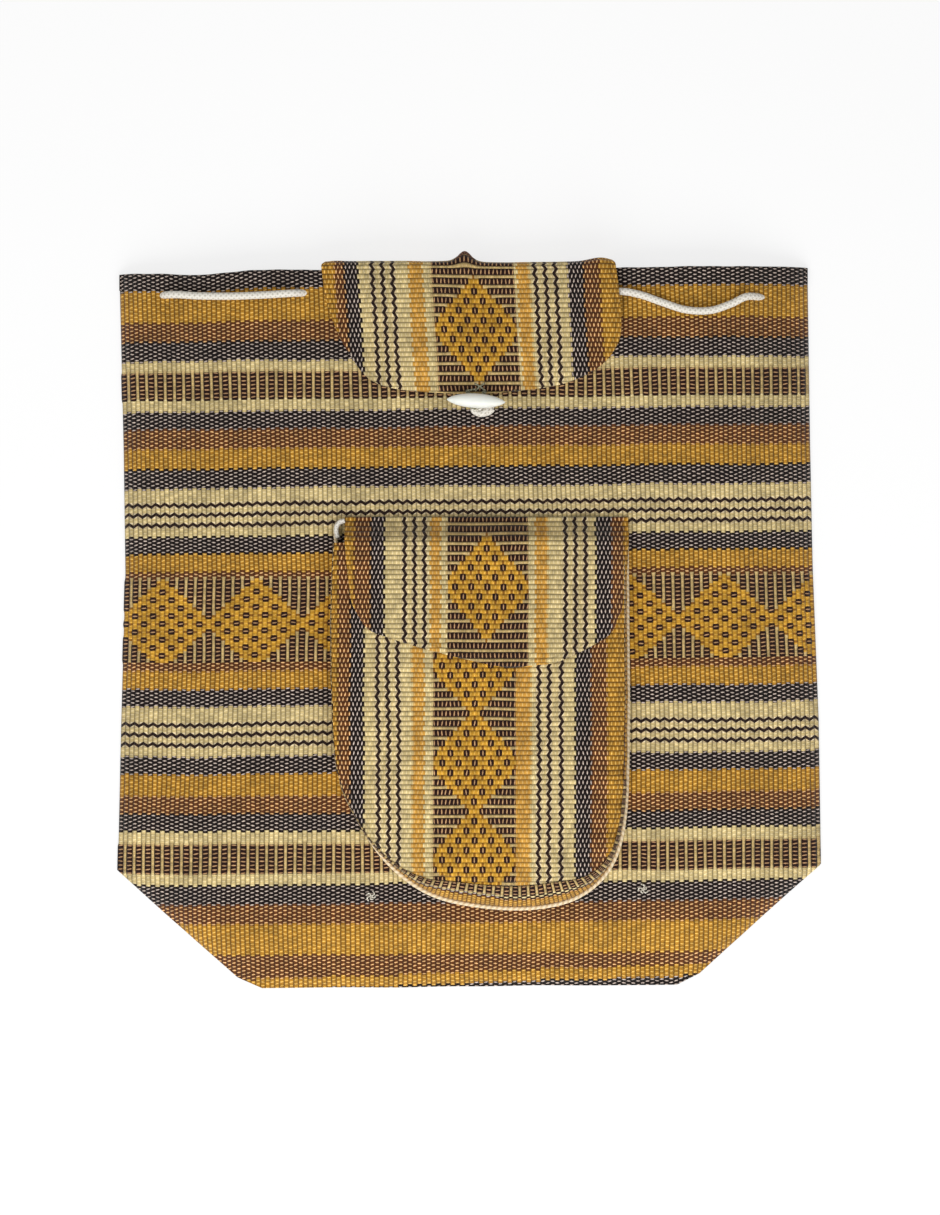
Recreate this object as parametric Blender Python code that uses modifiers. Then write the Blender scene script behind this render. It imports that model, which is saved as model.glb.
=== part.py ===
"""A flat-woven drawstring backpack, empty, lying on its back with its front face up.

Lengths are in millimetres and become metres where a mesh is made. +X is to the right of
the front face, +Y points to the mouth and +Z is up, away from the surface it lies on.
"""

import math

import bmesh
import bpy
from mathutils import Vector

MM = 0.001

# Cloth, cord and clearances
CLOTH = 1.8
GAP = 0.3
WEAVE_GROOVE = 0.5
CORD = 4.2
PIPING = 2.0
LOOP_THREAD = 1.8

# The sack: one long cloth folded at the bottom, with boxed lower corners
MOUTH_Y = 201.4
BODY_SLANT = 0.010
BOX_CORNER_Y = -142.5
BOX_CORNER_END_Y = -205.0
LEFT_EDGE = [(201.4, 202.4), (100.0, 200.0), (30.0, 199.0), (-60.0, 201.5),
             (BOX_CORNER_Y, 203.3), (BOX_CORNER_END_Y, 134.0), (-211.0, 120.0)]
RIGHT_EDGE = [(201.4, 195.5), (100.0, 197.0), (30.0, 198.5), (-60.0, 202.0),
              (BOX_CORNER_Y, 203.3), (BOX_CORNER_END_Y, 133.0), (-211.0, 120.0)]
THICKNESS = [(201.4, 17.0), (150.0, 16.2), (50.0, 15.4), (-100.0, 14.4), (-160.0, 12.0),
             (-190.0, 9.4), (-205.0, 6.6), (-208.4, 4.5), (-211.3, 0.0)]
EDGE_POWER = 8
HALF_WIDTH = 201.0

# Woven bands of the sack from the mouth down: yarn and height
BODY_BANDS = [
    ("black", 9.2), ("gold", 19.0), ("brown", 11.5), ("black", 10.9), ("beige", 28.7),
    ("black", 10.9), ("brown", 10.9), ("gold", 11.5), ("black", 11.5), ("beige", 27.0),
    ("black", 10.9), ("gold", 13.8), ("diamond", 23.8), ("diamond", 23.9), ("gold", 15.6),
    ("black", 10.4), ("beige", 28.2), ("black", 10.4), ("gold", 12.7), ("brown", 10.4),
    ("black", 10.4), ("beige", 30.0), ("black", 11.5), ("brown", 11.5), ("gold", 18.4),
    ("brown", 10.9), ("brown", 6.0), ("black", 2.7), ("black", 0.0),
]
DIAMOND_PITCH = 54.7
DIAMOND_X = -15.8

# What lies under the sack lifts its back off the surface: the straps in one zone and the
# flap's root in another, each with a plateau and a slope at its edge
UNDER_CLEAR = 0.6
STRAP_ZONE_X = (176.0, 150.0)
STRAP_ZONE_Y = (-198.0, -175.0)
ROOT_ZONE_X = (125.0, 99.0)
ROOT_ZONE_Y = (122.0, 150.0)
STRAP_THICK = 2.4
STRAP_WIDTH = 26.0
STRAP_PATH = [(18.0, 158.0), (38.0, 80.0), (84.0, 0.0), (106.0, -80.0), (103.0, -150.0)]
HANG_LOOP_X = -1.4
HANG_LOOP_WIDTH = 13.0
HANG_LOOP_THICK = 2.0
HANG_LOOP_TOP = 212.5
HANG_LOOP_ROOT = 184.0

# Top flap, its cloth turned so that the bands run down it
FLAP_COLUMNS = [
    (-92.0, "gold"), (-77.3, "brown"), (-71.0, "black"), (-63.0, "beige"), (-34.8, "orange"),
    (-26.7, "beige"), (-22.1, "diamond"), (2.0, "diamond"), (25.6, "orange"), (34.2, "beige"),
    (56.1, "black"), (65.3, "brown"), (74.5, "gold"), (94.0, "gold"),
]
FLAP_OUTLINE = [(-85.0, 204.0), (-82.5, 185.0), (-75.5, 165.0), (-60.0, 141.0), (-34.0, 132.2),
                (4.0, 130.0), (46.0, 134.4), (76.0, 147.0), (87.0, 167.0), (85.5, 186.0),
                (84.5, 204.0)]
FLAP_ROOT_Y = 168.0
FLAP_FOLD_Y = 201.6
FLAP_FOLD_OUT = 6.3
FLAP_ROWS = [193.0, 184.0, 175.0, 168.0, 160.0, 151.0, 142.0, 134.0, 127.0]
FLAP_DIAMOND_Y = 168.0
FLAP_LEAN = 0.06

# Front pocket: base outline on the sack from its left top round to its right top
POCKET_BASE = [(-78.5, 45.0), (-80.0, 12.0), (-79.6, -45.0), (-76.5, -85.0), (-66.0, -113.0),
               (-48.6, -138.6), (-24.0, -157.0), (6.0, -164.5), (38.0, -165.5), (64.0, -158.5),
               (82.0, -141.0), (90.0, -112.0), (91.7, -60.0), (91.5, -10.0), (91.0, 45.0)]
POCKET_RISE = 13.0
INSET_LEFT = 6.0
INSET_RIGHT = 11.0
INSET_BOTTOM = 13.0
GUSSET_BULGE = 1.5
POCKET_COLUMNS = [
    (-90.0, "gold"), (-74.5, "brown"), (-68.1, "black"), (-59.5, "beige"), (-32.5, "orange"),
    (-25.6, "beige"), (-21.0, "diamond"), (2.9, "diamond"), (26.7, "orange"), (35.9, "beige"),
    (61.2, "black"), (70.4, "brown"), (79.1, "gold"), (100.0, "gold"),
]
POCKET_DIAMOND_YS = [23.6, -31.0, -80.5, -136.3]
POCKET_ROWS = [60.0, 23.6, -4.0, -31.0, -54.6, -80.5, -108.7, -136.3, -175.0]

POCKET_FLAP_COLUMNS = [
    (-78.0, "gold"), (-65.3, "brown"), (-56.6, "black"), (-48.0, "beige"), (-21.6, "orange"),
    (-16.4, "beige"), (-12.9, "diamond"), (10.4, "diamond"), (33.6, "orange"), (44.6, "beige"),
    (72.7, "black"), (81.4, "brown"), (98.0, "gold"),
]
POCKET_FLAP_OUTLINE = [(-71.6, 60.0), (-71.0, 40.0), (-68.0, 14.0), (-58.0, -4.5), (-22.7, -16.7),
                       (17.5, -26.0), (52.0, -22.8), (77.0, -10.0), (88.5, 12.0), (91.0, 40.0),
                       (91.1, 60.0)]
POCKET_FLAP_ROWS = [66.0, 60.0, 56.0, 52.0, 48.0, 44.0, 32.0, 18.4, 4.0, -9.8, -32.0]
POCKET_FLAP_DIAMOND_Y = 18.4
POCKET_FLAP_ROOT_Y = 60.0
POCKET_FLAP_BEND_Y = 47.0
POCKET_FLAP_DROOP = 6.5
POCKET_FLAP_DROOP_X = (79.0, 95.0)

# Toggle, the knot that carries it and the thread loop of the flap
TOGGLE_X = 3.7
TOGGLE_Y = 125.9
TOGGLE_LENGTH = 33.4
TOGGLE_WIDTH = 8.0
TOGGLE_TILT = math.radians(-3.0)
KNOT_WIDTH = 15.0
KNOT_HEIGHT = 4.5
NECK_WIDTH = 4.2

# Drawstring route, x and y with the layer it runs in
CORD_ROUTE = [
    (-1.8, 133.4, "out"), (-7.0, 146.0, "out"), (-16.0, 162.0, "out"), (-25.0, 176.0, "out"),
    (-36.0, 184.5, "out"), (-45.0, 187.5, "out"), (-58.0, 188.6, "in"), (-72.0, 188.6, "in"),
    (-87.0, 188.4, "in"), (-100.0, 188.2, "out"), (-115.0, 187.8, "out"), (-135.0, 187.4, "out"),
    (-152.0, 187.8, "out"), (-163.0, 188.2, "out"), (-177.5, 184.5, "in"), (-181.0, 177.0, "in"),
    (-176.0, 170.0, "in"), (-164.0, 167.8, "back"), (-145.0, 168.0, "back"), (-120.0, 168.6, "back"),
    (-80.0, 169.0, "back"), (-30.0, 169.0, "back"), (30.0, 169.0, "back"), (80.0, 169.0, "back"),
    (120.0, 168.6, "back"), (145.0, 168.0, "back"), (162.0, 167.8, "back"), (173.5, 170.0, "in"),
    (178.5, 177.0, "in"), (175.0, 184.5, "in"), (160.5, 186.5, "out"), (150.0, 182.0, "out"),
    (138.0, 178.2, "out"), (124.0, 178.6, "out"), (110.0, 183.0, "out"), (98.0, 187.0, "out"),
    (86.0, 189.0, "out"), (72.0, 187.0, "out"), (52.0, 178.0, "out"), (34.0, 163.0, "out"),
    (19.0, 146.0, "out"), (9.4, 133.4, "out"),
]
SLOT_CLEAR = 0.7
CORD_CLEAR = 0.35

# White tufts of thread beside the pocket
TACK_WIDTH = 4.8
TACK_HEIGHT = 1.4
TACKS = {"left": (-56.6, -158.1), "right": (99.8, -154.1)}

YARNS = {
    "beige": "#CDBB88", "gold": "#B98534", "brown": "#8A5A36", "black": "#332522",
    "orange": "#CF9637", "diamond": "#A87B2C", "ground": "#6A4A30",
}
PLAIN = {
    "cord": "#E9E5DA", "toggle": "#EFF1E9", "piping": "#D9C9A6", "strap": "#5A3B2A",
    "thread": "#E4DDCB",
}


def linear(hex_colour):
    """A hex colour as the linear values that a shader takes."""
    channels = [int(hex_colour[i:i + 2], 16) / 255 for i in (1, 3, 5)]
    return [c / 12.92 if c <= 0.04045 else ((c + 0.055) / 1.055) ** 2.4 for c in channels] + [1.0]


def make_material(name, hex_colour, roughness):
    material = bpy.data.materials.new(name)
    material.use_nodes = True
    shader = material.node_tree.nodes["Principled BSDF"]
    shader.inputs["Base Color"].default_value = linear(hex_colour)
    shader.inputs["Roughness"].default_value = roughness
    shader.inputs["Metallic"].default_value = 0.0
    return material


def smooth(start, end, value):
    """0 before start, 1 after end, with an eased turn between them."""
    t = min(max((value - start) / (end - start), 0.0), 1.0)
    return t * t * (3 - 2 * t)


def ramp(start, end, value):
    """0 before start, 1 after end, and straight between them, whichever is the greater."""
    return min(max((value - start) / (end - start), 0.0), 1.0)


def table(pairs, y):
    """Straight interpolation in a table of (y, value) that runs from high y to low."""
    if y >= pairs[0][0]:
        return pairs[0][1]
    for (y0, v0), (y1, v1) in zip(pairs, pairs[1:]):
        if y >= y1:
            return v1 + (v0 - v1) * (y - y1) / (y0 - y1)
    return pairs[-1][1]


def spline(points, steps):
    """Points along a smooth curve through the given ones, with the same steps in each span."""
    ends = [2 * Vector(points[0]) - Vector(points[1])]
    ends += [Vector(p) for p in points]
    ends.append(2 * Vector(points[-1]) - Vector(points[-2]))
    out = []
    for a, b, c, d in zip(ends, ends[1:], ends[2:], ends[3:]):
        for i in range(steps):
            t = i / steps
            out.append(0.5 * (2 * b + (c - a) * t + (2 * a - 5 * b + 4 * c - d) * t ** 2
                              + (3 * b - a - 3 * c + d) * t ** 3))
    out.append(Vector(points[-1]))
    return out


def back_z(x, y):
    """Height of the sack's underside: it lies over the straps and over the flap's root."""
    over_straps = (STRAP_THICK + UNDER_CLEAR) * ramp(*STRAP_ZONE_X, abs(x)) * smooth(*STRAP_ZONE_Y, y)
    root = HANG_LOOP_THICK + CLOTH + GAP + UNDER_CLEAR
    over_root = root * ramp(*ROOT_ZONE_X, abs(x)) * ramp(*ROOT_ZONE_Y, y)
    return max(over_straps, over_root)


def bulk(x, y):
    """Thickness of the sack from underside to top face at a point."""
    row = y - BODY_SLANT * x
    edge = table(RIGHT_EDGE, row) if x > 0 else table(LEFT_EDGE, row)
    share = min(abs(x) / edge, 1.0)
    return table(THICKNESS, row) * math.sqrt(1 - share ** EDGE_POWER)


def front_z(x, y):
    """Height of the sack's top face, without the grooves between its woven bands."""
    return back_z(x, y) + bulk(x, y)


def cord_height(x, y, layer):
    """Height of the drawstring's centre outside, just inside, or along the back wall."""
    if layer == "out":
        return front_z(x, y) + GAP + CORD / 2 + CORD_CLEAR
    if layer == "in":
        near_edge = smooth(150, 170, abs(x))
        along_back = back_z(x, y) + CLOTH + GAP + CORD / 2 + 3 * CORD_CLEAR
        under_front = front_z(x, y) - CLOTH - WEAVE_GROOVE - GAP - CORD / 2
        return under_front + (along_back - under_front) * near_edge
    return back_z(x, y) + CLOTH + GAP + CORD / 2 + 2 * CORD_CLEAR


def cord_points():
    return spline([(x, y, cord_height(x, y, layer)) for x, y, layer in CORD_ROUTE], 2)


def flap_lift(x, y):
    """Height of the flap's underside over the sack: it lies over the cords and the knot."""
    under = [p for p in cord_points() if abs(p.x) < 100 and p.z > front_z(p.x, p.y)]
    reach = min(math.hypot(x - p.x, y - p.y) for p in under)
    reach = min(reach, max(0.0, math.hypot(x - TOGGLE_X, y - TOGGLE_Y) - KNOT_WIDTH / 2))
    return GAP + 0.1 + (CORD + 3 * CORD_CLEAR) * (1 - smooth(7, 30, reach))


def toggle_profile():
    """The toggle's half length and half width at each of its rings, from end to end."""
    profile = []
    for k in range(13):
        angle = math.pi * k / 12
        half = TOGGLE_LENGTH / 2 * math.copysign(abs(math.cos(angle)) ** 0.8, math.cos(angle))
        profile.append((half, TOGGLE_WIDTH / 2 * math.sin(angle) ** 0.7 if 0 < k < 12 else 0.0))
    return profile


def toggle_clear():
    """Height of the toggle's underside over the sack, clear of the flap through its whole turn."""
    base = front_z(TOGGLE_X, TOGGLE_Y)
    needed = 0.0
    for degrees in range(0, 181, 15):
        angle = math.radians(degrees)
        for half, radius in toggle_profile():
            x = TOGGLE_X + half * math.cos(angle)
            y = TOGGLE_Y + abs(half) * math.sin(angle)
            flap_top = front_z(x, y) + flap_lift(x, y) + CLOTH + 2 * WEAVE_GROOVE
            needed = max(needed, flap_top - base - (TOGGLE_WIDTH / 2 - radius))
    return needed + GAP


def new_object(name, mesh):
    item = bpy.data.objects.new(name, mesh)
    PARTS.objects.link(item)
    return item


def grid_object(name, rows, relief, yarn_of, ring, weld_last=None):
    """A sheet of faces over rows of points, its upper side towards +Z on the front.

    relief holds one height per point: a face is split along the diagonal whose ends are level.
    """
    bm = bmesh.new()
    verts = [[bm.verts.new(Vector(p) * MM) for p in row] for row in rows]
    yarns = list(YARNS)
    count = len(rows[0])
    for i in range(len(rows) - 1):
        for j in range(count if ring else count - 1):
            k = (j + 1) % count
            corners = [verts[i][j], verts[i + 1][j], verts[i + 1][k], verts[i][k]]
            heights = [relief[i][j], relief[i + 1][j], relief[i + 1][k], relief[i][k]]
            first = abs(heights[0] - heights[2])
            second = abs(heights[1] - heights[3])
            if abs(first - second) < 1e-6:
                pieces = [(0, 1, 2, 3)]
            elif first < second:
                pieces = [(0, 1, 2), (0, 2, 3)]
            else:
                pieces = [(0, 1, 3), (1, 2, 3)]
            for piece in pieces:
                face = bm.faces.new([corners[n] for n in piece])
                high = max(heights[n] for n in piece)
                face.material_index = yarns.index(yarn_of(i, j, high))
                face.smooth = True
    if weld_last:
        bmesh.ops.weld_verts(bm, targetmap={verts[-1][a]: verts[-1][b] for a, b in weld_last})
    mesh = bpy.data.meshes.new(name)
    bm.to_mesh(mesh)
    bm.free()
    for yarn in yarns:
        mesh.materials.append(MATERIALS[yarn])
    return new_object(name, mesh)


def add_thickness(item):
    solid = item.modifiers.new("cloth thickness", "SOLIDIFY")
    solid.thickness = CLOTH * MM
    solid.offset = -1.0
    solid.use_even_offset = True


def loft(name, rings, material):
    """A closed solid through rings of points, with flat ends."""
    bm = bmesh.new()
    verts = [[bm.verts.new(Vector(p) * MM) for p in ring] for ring in rings]
    count = len(rings[0])
    for near, far in zip(verts, verts[1:]):
        for j in range(count):
            k = (j + 1) % count
            bm.faces.new((near[j], near[k], far[k], far[j]))
    bm.faces.new(verts[0])
    bm.faces.new(verts[-1])
    bmesh.ops.recalc_face_normals(bm, faces=bm.faces)
    mesh = bpy.data.meshes.new(name)
    bm.to_mesh(mesh)
    bm.free()
    mesh.materials.append(material)
    return new_object(name, mesh)


def tube(name, points, width, material):
    """A round cord as a curve with filled caps."""
    curve = bpy.data.curves.new(name, "CURVE")
    curve.dimensions = "3D"
    curve.bevel_depth = width / 2 * MM
    curve.bevel_resolution = 2
    curve.use_fill_caps = True
    line = curve.splines.new("POLY")
    line.points.add(len(points) - 1)
    for point, place in zip(line.points, points):
        point.co = (*(Vector(place) * MM), 1.0)
    curve.materials.append(material)
    return new_object(name, curve)


def prism(name, outline, low, high):
    """An upright block over a flat outline, as a hidden cutter."""
    curve = bpy.data.curves.new(name, "CURVE")
    curve.dimensions = "2D"
    curve.fill_mode = "BOTH"
    curve.extrude = (high - low) / 2 * MM
    line = curve.splines.new("POLY")
    line.use_cyclic_u = True
    line.points.add(len(outline) - 1)
    for point, place in zip(line.points, outline):
        point.co = (place[0] * MM, place[1] * MM, 0.0, 1.0)
    drawn = bpy.data.objects.new(name, curve)
    drawn.location.z = (high + low) / 2 * MM
    CUTTERS.objects.link(drawn)
    bpy.context.view_layer.update()
    graph = bpy.context.evaluated_depsgraph_get()
    mesh = bpy.data.meshes.new_from_object(drawn.evaluated_get(graph))
    bm = bmesh.new()
    bm.from_mesh(mesh)
    bmesh.ops.remove_doubles(bm, verts=bm.verts, dist=0.00001)
    bmesh.ops.recalc_face_normals(bm, faces=bm.faces)
    bm.to_mesh(mesh)
    bm.free()
    block = bpy.data.objects.new(name, mesh)
    block.matrix_world = drawn.matrix_world
    bpy.data.objects.remove(drawn)
    CUTTERS.objects.link(block)
    block.hide_render = True
    block.display_type = "WIRE"
    return block


def boolean(item, cutter, operation):
    step = item.modifiers.new(cutter.name, "BOOLEAN")
    step.operation = operation
    step.object = cutter


def body_columns():
    """Places across the sack as shares of its half width, denser towards its seams."""
    halves = [DIAMOND_X + DIAMOND_PITCH * n / 2 for n in range(-6, 8)]
    return [-1.0, -0.965] + [x / HALF_WIDTH for x in halves] + [0.965, 1.0]


def make_body():
    shares = body_columns()
    edge_rows = [MOUTH_Y]
    for _, height in BODY_BANDS[:-1]:
        edge_rows.append(edge_rows[-1] - height)
    end_row = THICKNESS[-1][0]
    edge_rows = [row for row in edge_rows if row > end_row + 3.5] + [THICKNESS[-2][0], end_row]
    diamond_row = [yarn for yarn, _ in BODY_BANDS].index("diamond") + 1
    rows = []
    relief = []
    for i, row in enumerate(edge_rows):
        groove = WEAVE_GROOVE if i % 2 and i < len(edge_rows) - 2 else 0.0
        front = []
        heights = []
        for n, share in enumerate(shares):
            x = share * (table(RIGHT_EDGE, row) if share > 0 else table(LEFT_EDGE, row))
            y = row + BODY_SLANT * x
            depth = groove
            if abs(i - diamond_row) <= 1:
                depth = 0.0 if i == diamond_row and n % 2 == 0 else WEAVE_GROOVE
            if n in (0, len(shares) - 1):
                depth = 0.0
            top = front_z(x, y) if i < len(edge_rows) - 1 else 1.9
            if n in (0, len(shares) - 1):
                top = 1.9
            front.append((x, y, top - depth))
            heights.append(-depth)
        back = []
        for x, y, z in front[-2:0:-1]:
            low = back_z(x, y) if i < len(edge_rows) - 1 else 1.9
            back.append((x, y, low))
        rows.append(front + back)
        relief.append(heights + [0.0] * len(back))
    yarn_names = [yarn for yarn, _ in BODY_BANDS]
    count = len(shares)

    def yarn_of(i, j, high):
        yarn = yarn_names[min(i, len(yarn_names) - 1)]
        if yarn == "diamond" and (high < -0.01 or j >= count - 1):
            return "ground"
        return yarn

    ring_size = len(rows[0])
    seams = [(ring_size - n, n) for n in range(1, count - 1)]
    body = grid_object("body", rows, relief, yarn_of, True, seams)
    add_thickness(body)
    for n, (place, along, length) in enumerate(cord_slots()):
        outline = slot_outline(place, along, length, CORD + 2 * SLOT_CLEAR)
        cutter = prism(f"slot_{n + 1}", outline, place.z - 3.4, place.z + 4.0)
        boolean(body, cutter, "DIFFERENCE")


def cord_slots():
    """Where the drawstring goes through the front cloth, its heading there and the slot's length."""
    points = cord_points()
    slots = []
    for a, b in zip(points, points[1:]):
        depth_a = a.z - front_z(a.x, a.y) + CLOTH / 2
        depth_b = b.z - front_z(b.x, b.y) + CLOTH / 2
        if depth_a * depth_b < 0:
            place = a.lerp(b, depth_a / (depth_a - depth_b))
            run = Vector((b.x - a.x, b.y - a.y, 0.0))
            slope = math.atan2(abs(depth_b - depth_a), run.length)
            length = (CORD + 2 * SLOT_CLEAR + CLOTH * math.cos(slope)) / math.sin(slope)
            slots.append((place, run.normalized(), length + 2.0))
    return slots


def slot_outline(place, along, length, width):
    """A slot with half-round ends, seen from above."""
    across = Vector((-along.y, along.x, 0.0))
    out = []
    for end in (1, -1):
        for k in range(5):
            angle = math.pi * (k / 4 - 0.5)
            reach = (length - width) / 2 + width / 2 * math.cos(angle)
            side = width / 2 * math.sin(angle)
            out.append(place + end * (along * reach + across * side))
    return out


def columns_at(columns, lean, y, top_y):
    return [x + lean * (top_y - y) for x, _ in columns]


def column_yarn(columns, high):
    """The yarn of a column, with diamonds only where their centres stand out."""
    def yarn_of(i, j, level):
        yarn = columns[j][1]
        return "ground" if yarn == "diamond" and level < high else yarn
    return yarn_of


def make_flap():
    """The flap's root under the sack, its fold over the mouth and its front part."""
    root_z = HANG_LOOP_THICK + GAP
    rows = []
    relief = []
    for y in (FLAP_ROOT_Y, FLAP_FOLD_Y - 8):
        rows.append([(x, y, root_z) for x in columns_at(FLAP_COLUMNS, 0.0, y, y)])
        relief.append([0.0] * len(FLAP_COLUMNS))
    tops = []
    for x, _ in FLAP_COLUMNS:
        y = FLAP_FOLD_Y - 3
        tops.append(front_z(x, y) + flap_lift(x, y) + CLOTH + WEAVE_GROOVE)
    for angle in (-90, -62, -40, 0, 40, 62, 90):
        out = abs(math.cos(math.radians(angle))) ** (2 / 3)
        up = math.copysign(abs(math.sin(math.radians(angle))) ** (2 / 3), angle)
        row = []
        for (x, _), top in zip(FLAP_COLUMNS, tops):
            middle = (root_z + top) / 2
            row.append((x, FLAP_FOLD_Y + FLAP_FOLD_OUT * out, middle + (top - middle) * up))
        rows.append(row)
        relief.append([0.0] * len(FLAP_COLUMNS))
    for y in FLAP_ROWS:
        row = []
        heights = []
        for j, x in enumerate(columns_at(FLAP_COLUMNS, FLAP_LEAN, y, FLAP_FOLD_Y)):
            centre = FLAP_COLUMNS[j - 1][1] == FLAP_COLUMNS[j][1] == "diamond"
            depth = WEAVE_GROOVE if j % 2 == 0 else 0.0
            if centre:
                depth = 0.0 if y == FLAP_DIAMOND_Y else WEAVE_GROOVE
            row.append((x, y, front_z(x, y) + flap_lift(x, y) + CLOTH + 2 * WEAVE_GROOVE - depth))
            heights.append(-depth)
        rows.append(row)
        relief.append(heights)
    flap = grid_object("flap", rows, relief, column_yarn(FLAP_COLUMNS, -0.01), False)
    add_thickness(flap)
    outline = [(p.x, p.y) for p in spline([(*p, 0.0) for p in FLAP_OUTLINE], 3)]
    outline += [(FLAP_OUTLINE[-1][0], 220.0), (FLAP_OUTLINE[0][0], 220.0)]
    boolean(flap, prism("flap_outline", outline, -5.0, 60.0), "INTERSECT")


def turned(name, profile, steps, material):
    """A profile of (radius, height) pairs, highest first, turned round the upright axis."""
    mesh = bpy.data.meshes.new(name)
    edges = [(n, n + 1) for n in range(len(profile) - 1)]
    mesh.from_pydata([(r * MM, 0.0, z * MM) for r, z in profile], edges, [])
    mesh.materials.append(material)
    item = new_object(name, mesh)
    screw = item.modifiers.new("turn", "SCREW")
    screw.steps = steps
    screw.render_steps = steps
    screw.use_merge_vertices = True
    screw.merge_threshold = 0.0001
    screw.use_smooth_shade = True
    return item


def make_toggle():
    """A smooth oval peg that turns on the knot of the drawstring."""
    base = front_z(TOGGLE_X, TOGGLE_Y)
    pivot = bpy.data.objects.new("toggle_pivot", None)
    pivot.location = Vector((TOGGLE_X, TOGGLE_Y, base + toggle_clear() + TOGGLE_WIDTH / 2)) * MM
    PARTS.objects.link(pivot)
    profile = [(radius, half) for half, radius in toggle_profile()]
    toggle = turned("toggle", profile, 16, MATERIALS["toggle"])
    toggle.rotation_euler = (0.0, math.pi / 2, TOGGLE_TILT)
    toggle.parent = pivot


def make_knot():
    """The knot of both cord ends, with the short neck that carries the toggle."""
    base = front_z(TOGGLE_X, TOGGLE_Y) + GAP
    top = toggle_clear() - 2 * GAP
    profile = [(0.0, top), (NECK_WIDTH / 2, top),
               (NECK_WIDTH / 2, KNOT_HEIGHT - 0.1)]
    for k in range(1, 7):
        angle = math.pi * k / 6 * 0.92
        profile.append((KNOT_WIDTH / 2 * math.sin(angle) ** 0.6,
                        KNOT_HEIGHT / 2 * (1 + math.cos(angle))))
    profile.append((0.0, profile[-1][1]))
    knot = turned("drawstring_knot", profile, 16, MATERIALS["cord"])
    knot.location = Vector((TOGGLE_X, TOGGLE_Y, base)) * MM


def make_flap_loop():
    """A thread loop from the flap's tip round the neck under the toggle."""
    z = front_z(TOGGLE_X, TOGGLE_Y) + KNOT_HEIGHT + GAP + LOOP_THREAD / 2 + 0.15
    radius = NECK_WIDTH / 2 + 0.5 + LOOP_THREAD / 2
    tip_y = FLAP_OUTLINE[5][1] - GAP - 0.4
    points = [(TOGGLE_X - radius - 0.4, tip_y, z)]
    for k in range(9):
        angle = math.pi + math.pi * k / 8
        points.append((TOGGLE_X + radius * math.cos(angle), TOGGLE_Y + radius * math.sin(angle), z))
    points.append((TOGGLE_X + radius + 0.4, tip_y, z))
    tube("flap_loop", points, LOOP_THREAD, MATERIALS["thread"])


def pocket_paths():
    """The pocket's base outline and its top outline, set in by a different amount on each side."""
    base = spline([(*p, 0.0) for p in POCKET_BASE], 2)
    top = []
    inward = []
    for n, point in enumerate(base):
        run = base[min(n + 1, len(base) - 1)] - base[max(n - 1, 0)]
        side = Vector((-run.y, run.x, 0.0)).normalized()
        inset = (INSET_LEFT * max(side.x, 0.0) ** 2 + INSET_RIGHT * max(-side.x, 0.0) ** 2
                 + INSET_BOTTOM * side.y ** 2)
        top.append(point + side * inset)
        inward.append(side)
    return base, top, inward


def make_pocket_gusset():
    """The strip of cloth that joins the pocket's front panel to the sack."""
    rings = []
    rise = POCKET_RISE - CLOTH - WEAVE_GROOVE - GAP - 0.15
    for low, high, side in zip(*pocket_paths()):
        middle = (low + high) / 2 - side * GUSSET_BULGE
        wall = front_z(low.x, low.y)
        foot = wall + GAP + 0.05
        ring = []
        for point, z in ((low, foot), (middle, wall + rise / 2), (high, wall + rise)):
            ring.append((point.x, point.y, z))
        for point, z in ((high, wall + rise), (middle, wall + rise / 2), (low, foot)):
            inner = point + side * CLOTH
            inner_foot = max(z, front_z(inner.x, inner.y) + GAP + 0.05)
            ring.append((inner.x, inner.y, inner_foot))
        rings.append(ring)
    loft("pocket_gusset", rings, MATERIALS["gold"])


def make_pocket_piping():
    """A pale cord along the seam round the pocket."""
    base, _, inward = pocket_paths()
    points = []
    for point, side in zip(base, inward):
        place = point - side * (PIPING / 2 + GAP)
        points.append((place.x, place.y, front_z(place.x, place.y) + GAP + PIPING / 2 + 0.1))
    left_end = (POCKET_BASE[0][0] + 2.0, 57.0)
    points.insert(0, (*left_end, front_z(*left_end) + GAP + PIPING / 2 + 0.1))
    tube("pocket_piping", points, PIPING, MATERIALS["piping"])


def make_pocket_front():
    rows = []
    relief = []
    for y in POCKET_ROWS:
        row = []
        heights = []
        for j, (x, _) in enumerate(POCKET_COLUMNS):
            centre = POCKET_COLUMNS[j - 1][1] == POCKET_COLUMNS[j][1] == "diamond"
            depth = WEAVE_GROOVE if j % 2 == 0 else 0.0
            if centre:
                depth = 0.0 if y in POCKET_DIAMOND_YS else WEAVE_GROOVE
            row.append((x, y, front_z(x, y) + POCKET_RISE - depth))
            heights.append(-depth)
        rows.append(row)
        relief.append(heights)
    panel = grid_object("pocket_front", rows, relief, column_yarn(POCKET_COLUMNS, -0.01), False)
    add_thickness(panel)
    _, top, _ = pocket_paths()
    boolean(panel, prism("pocket_outline", [(p.x, p.y) for p in top], -5.0, 60.0), "INTERSECT")


def pocket_flap_z(x, y):
    """Height of the pocket flap's top face: from its seam on the sack up over the pocket."""
    low = GAP + CLOTH + WEAVE_GROOVE + 0.1
    high = POCKET_RISE + GAP + CLOTH + WEAVE_GROOVE + 0.1
    rise = smooth(POCKET_FLAP_ROOT_Y - 1, POCKET_FLAP_BEND_Y, y)
    droop = POCKET_FLAP_DROOP * smooth(*POCKET_FLAP_DROOP_X, x) * rise
    return front_z(x, y) + low + (high - low) * rise - droop


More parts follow.
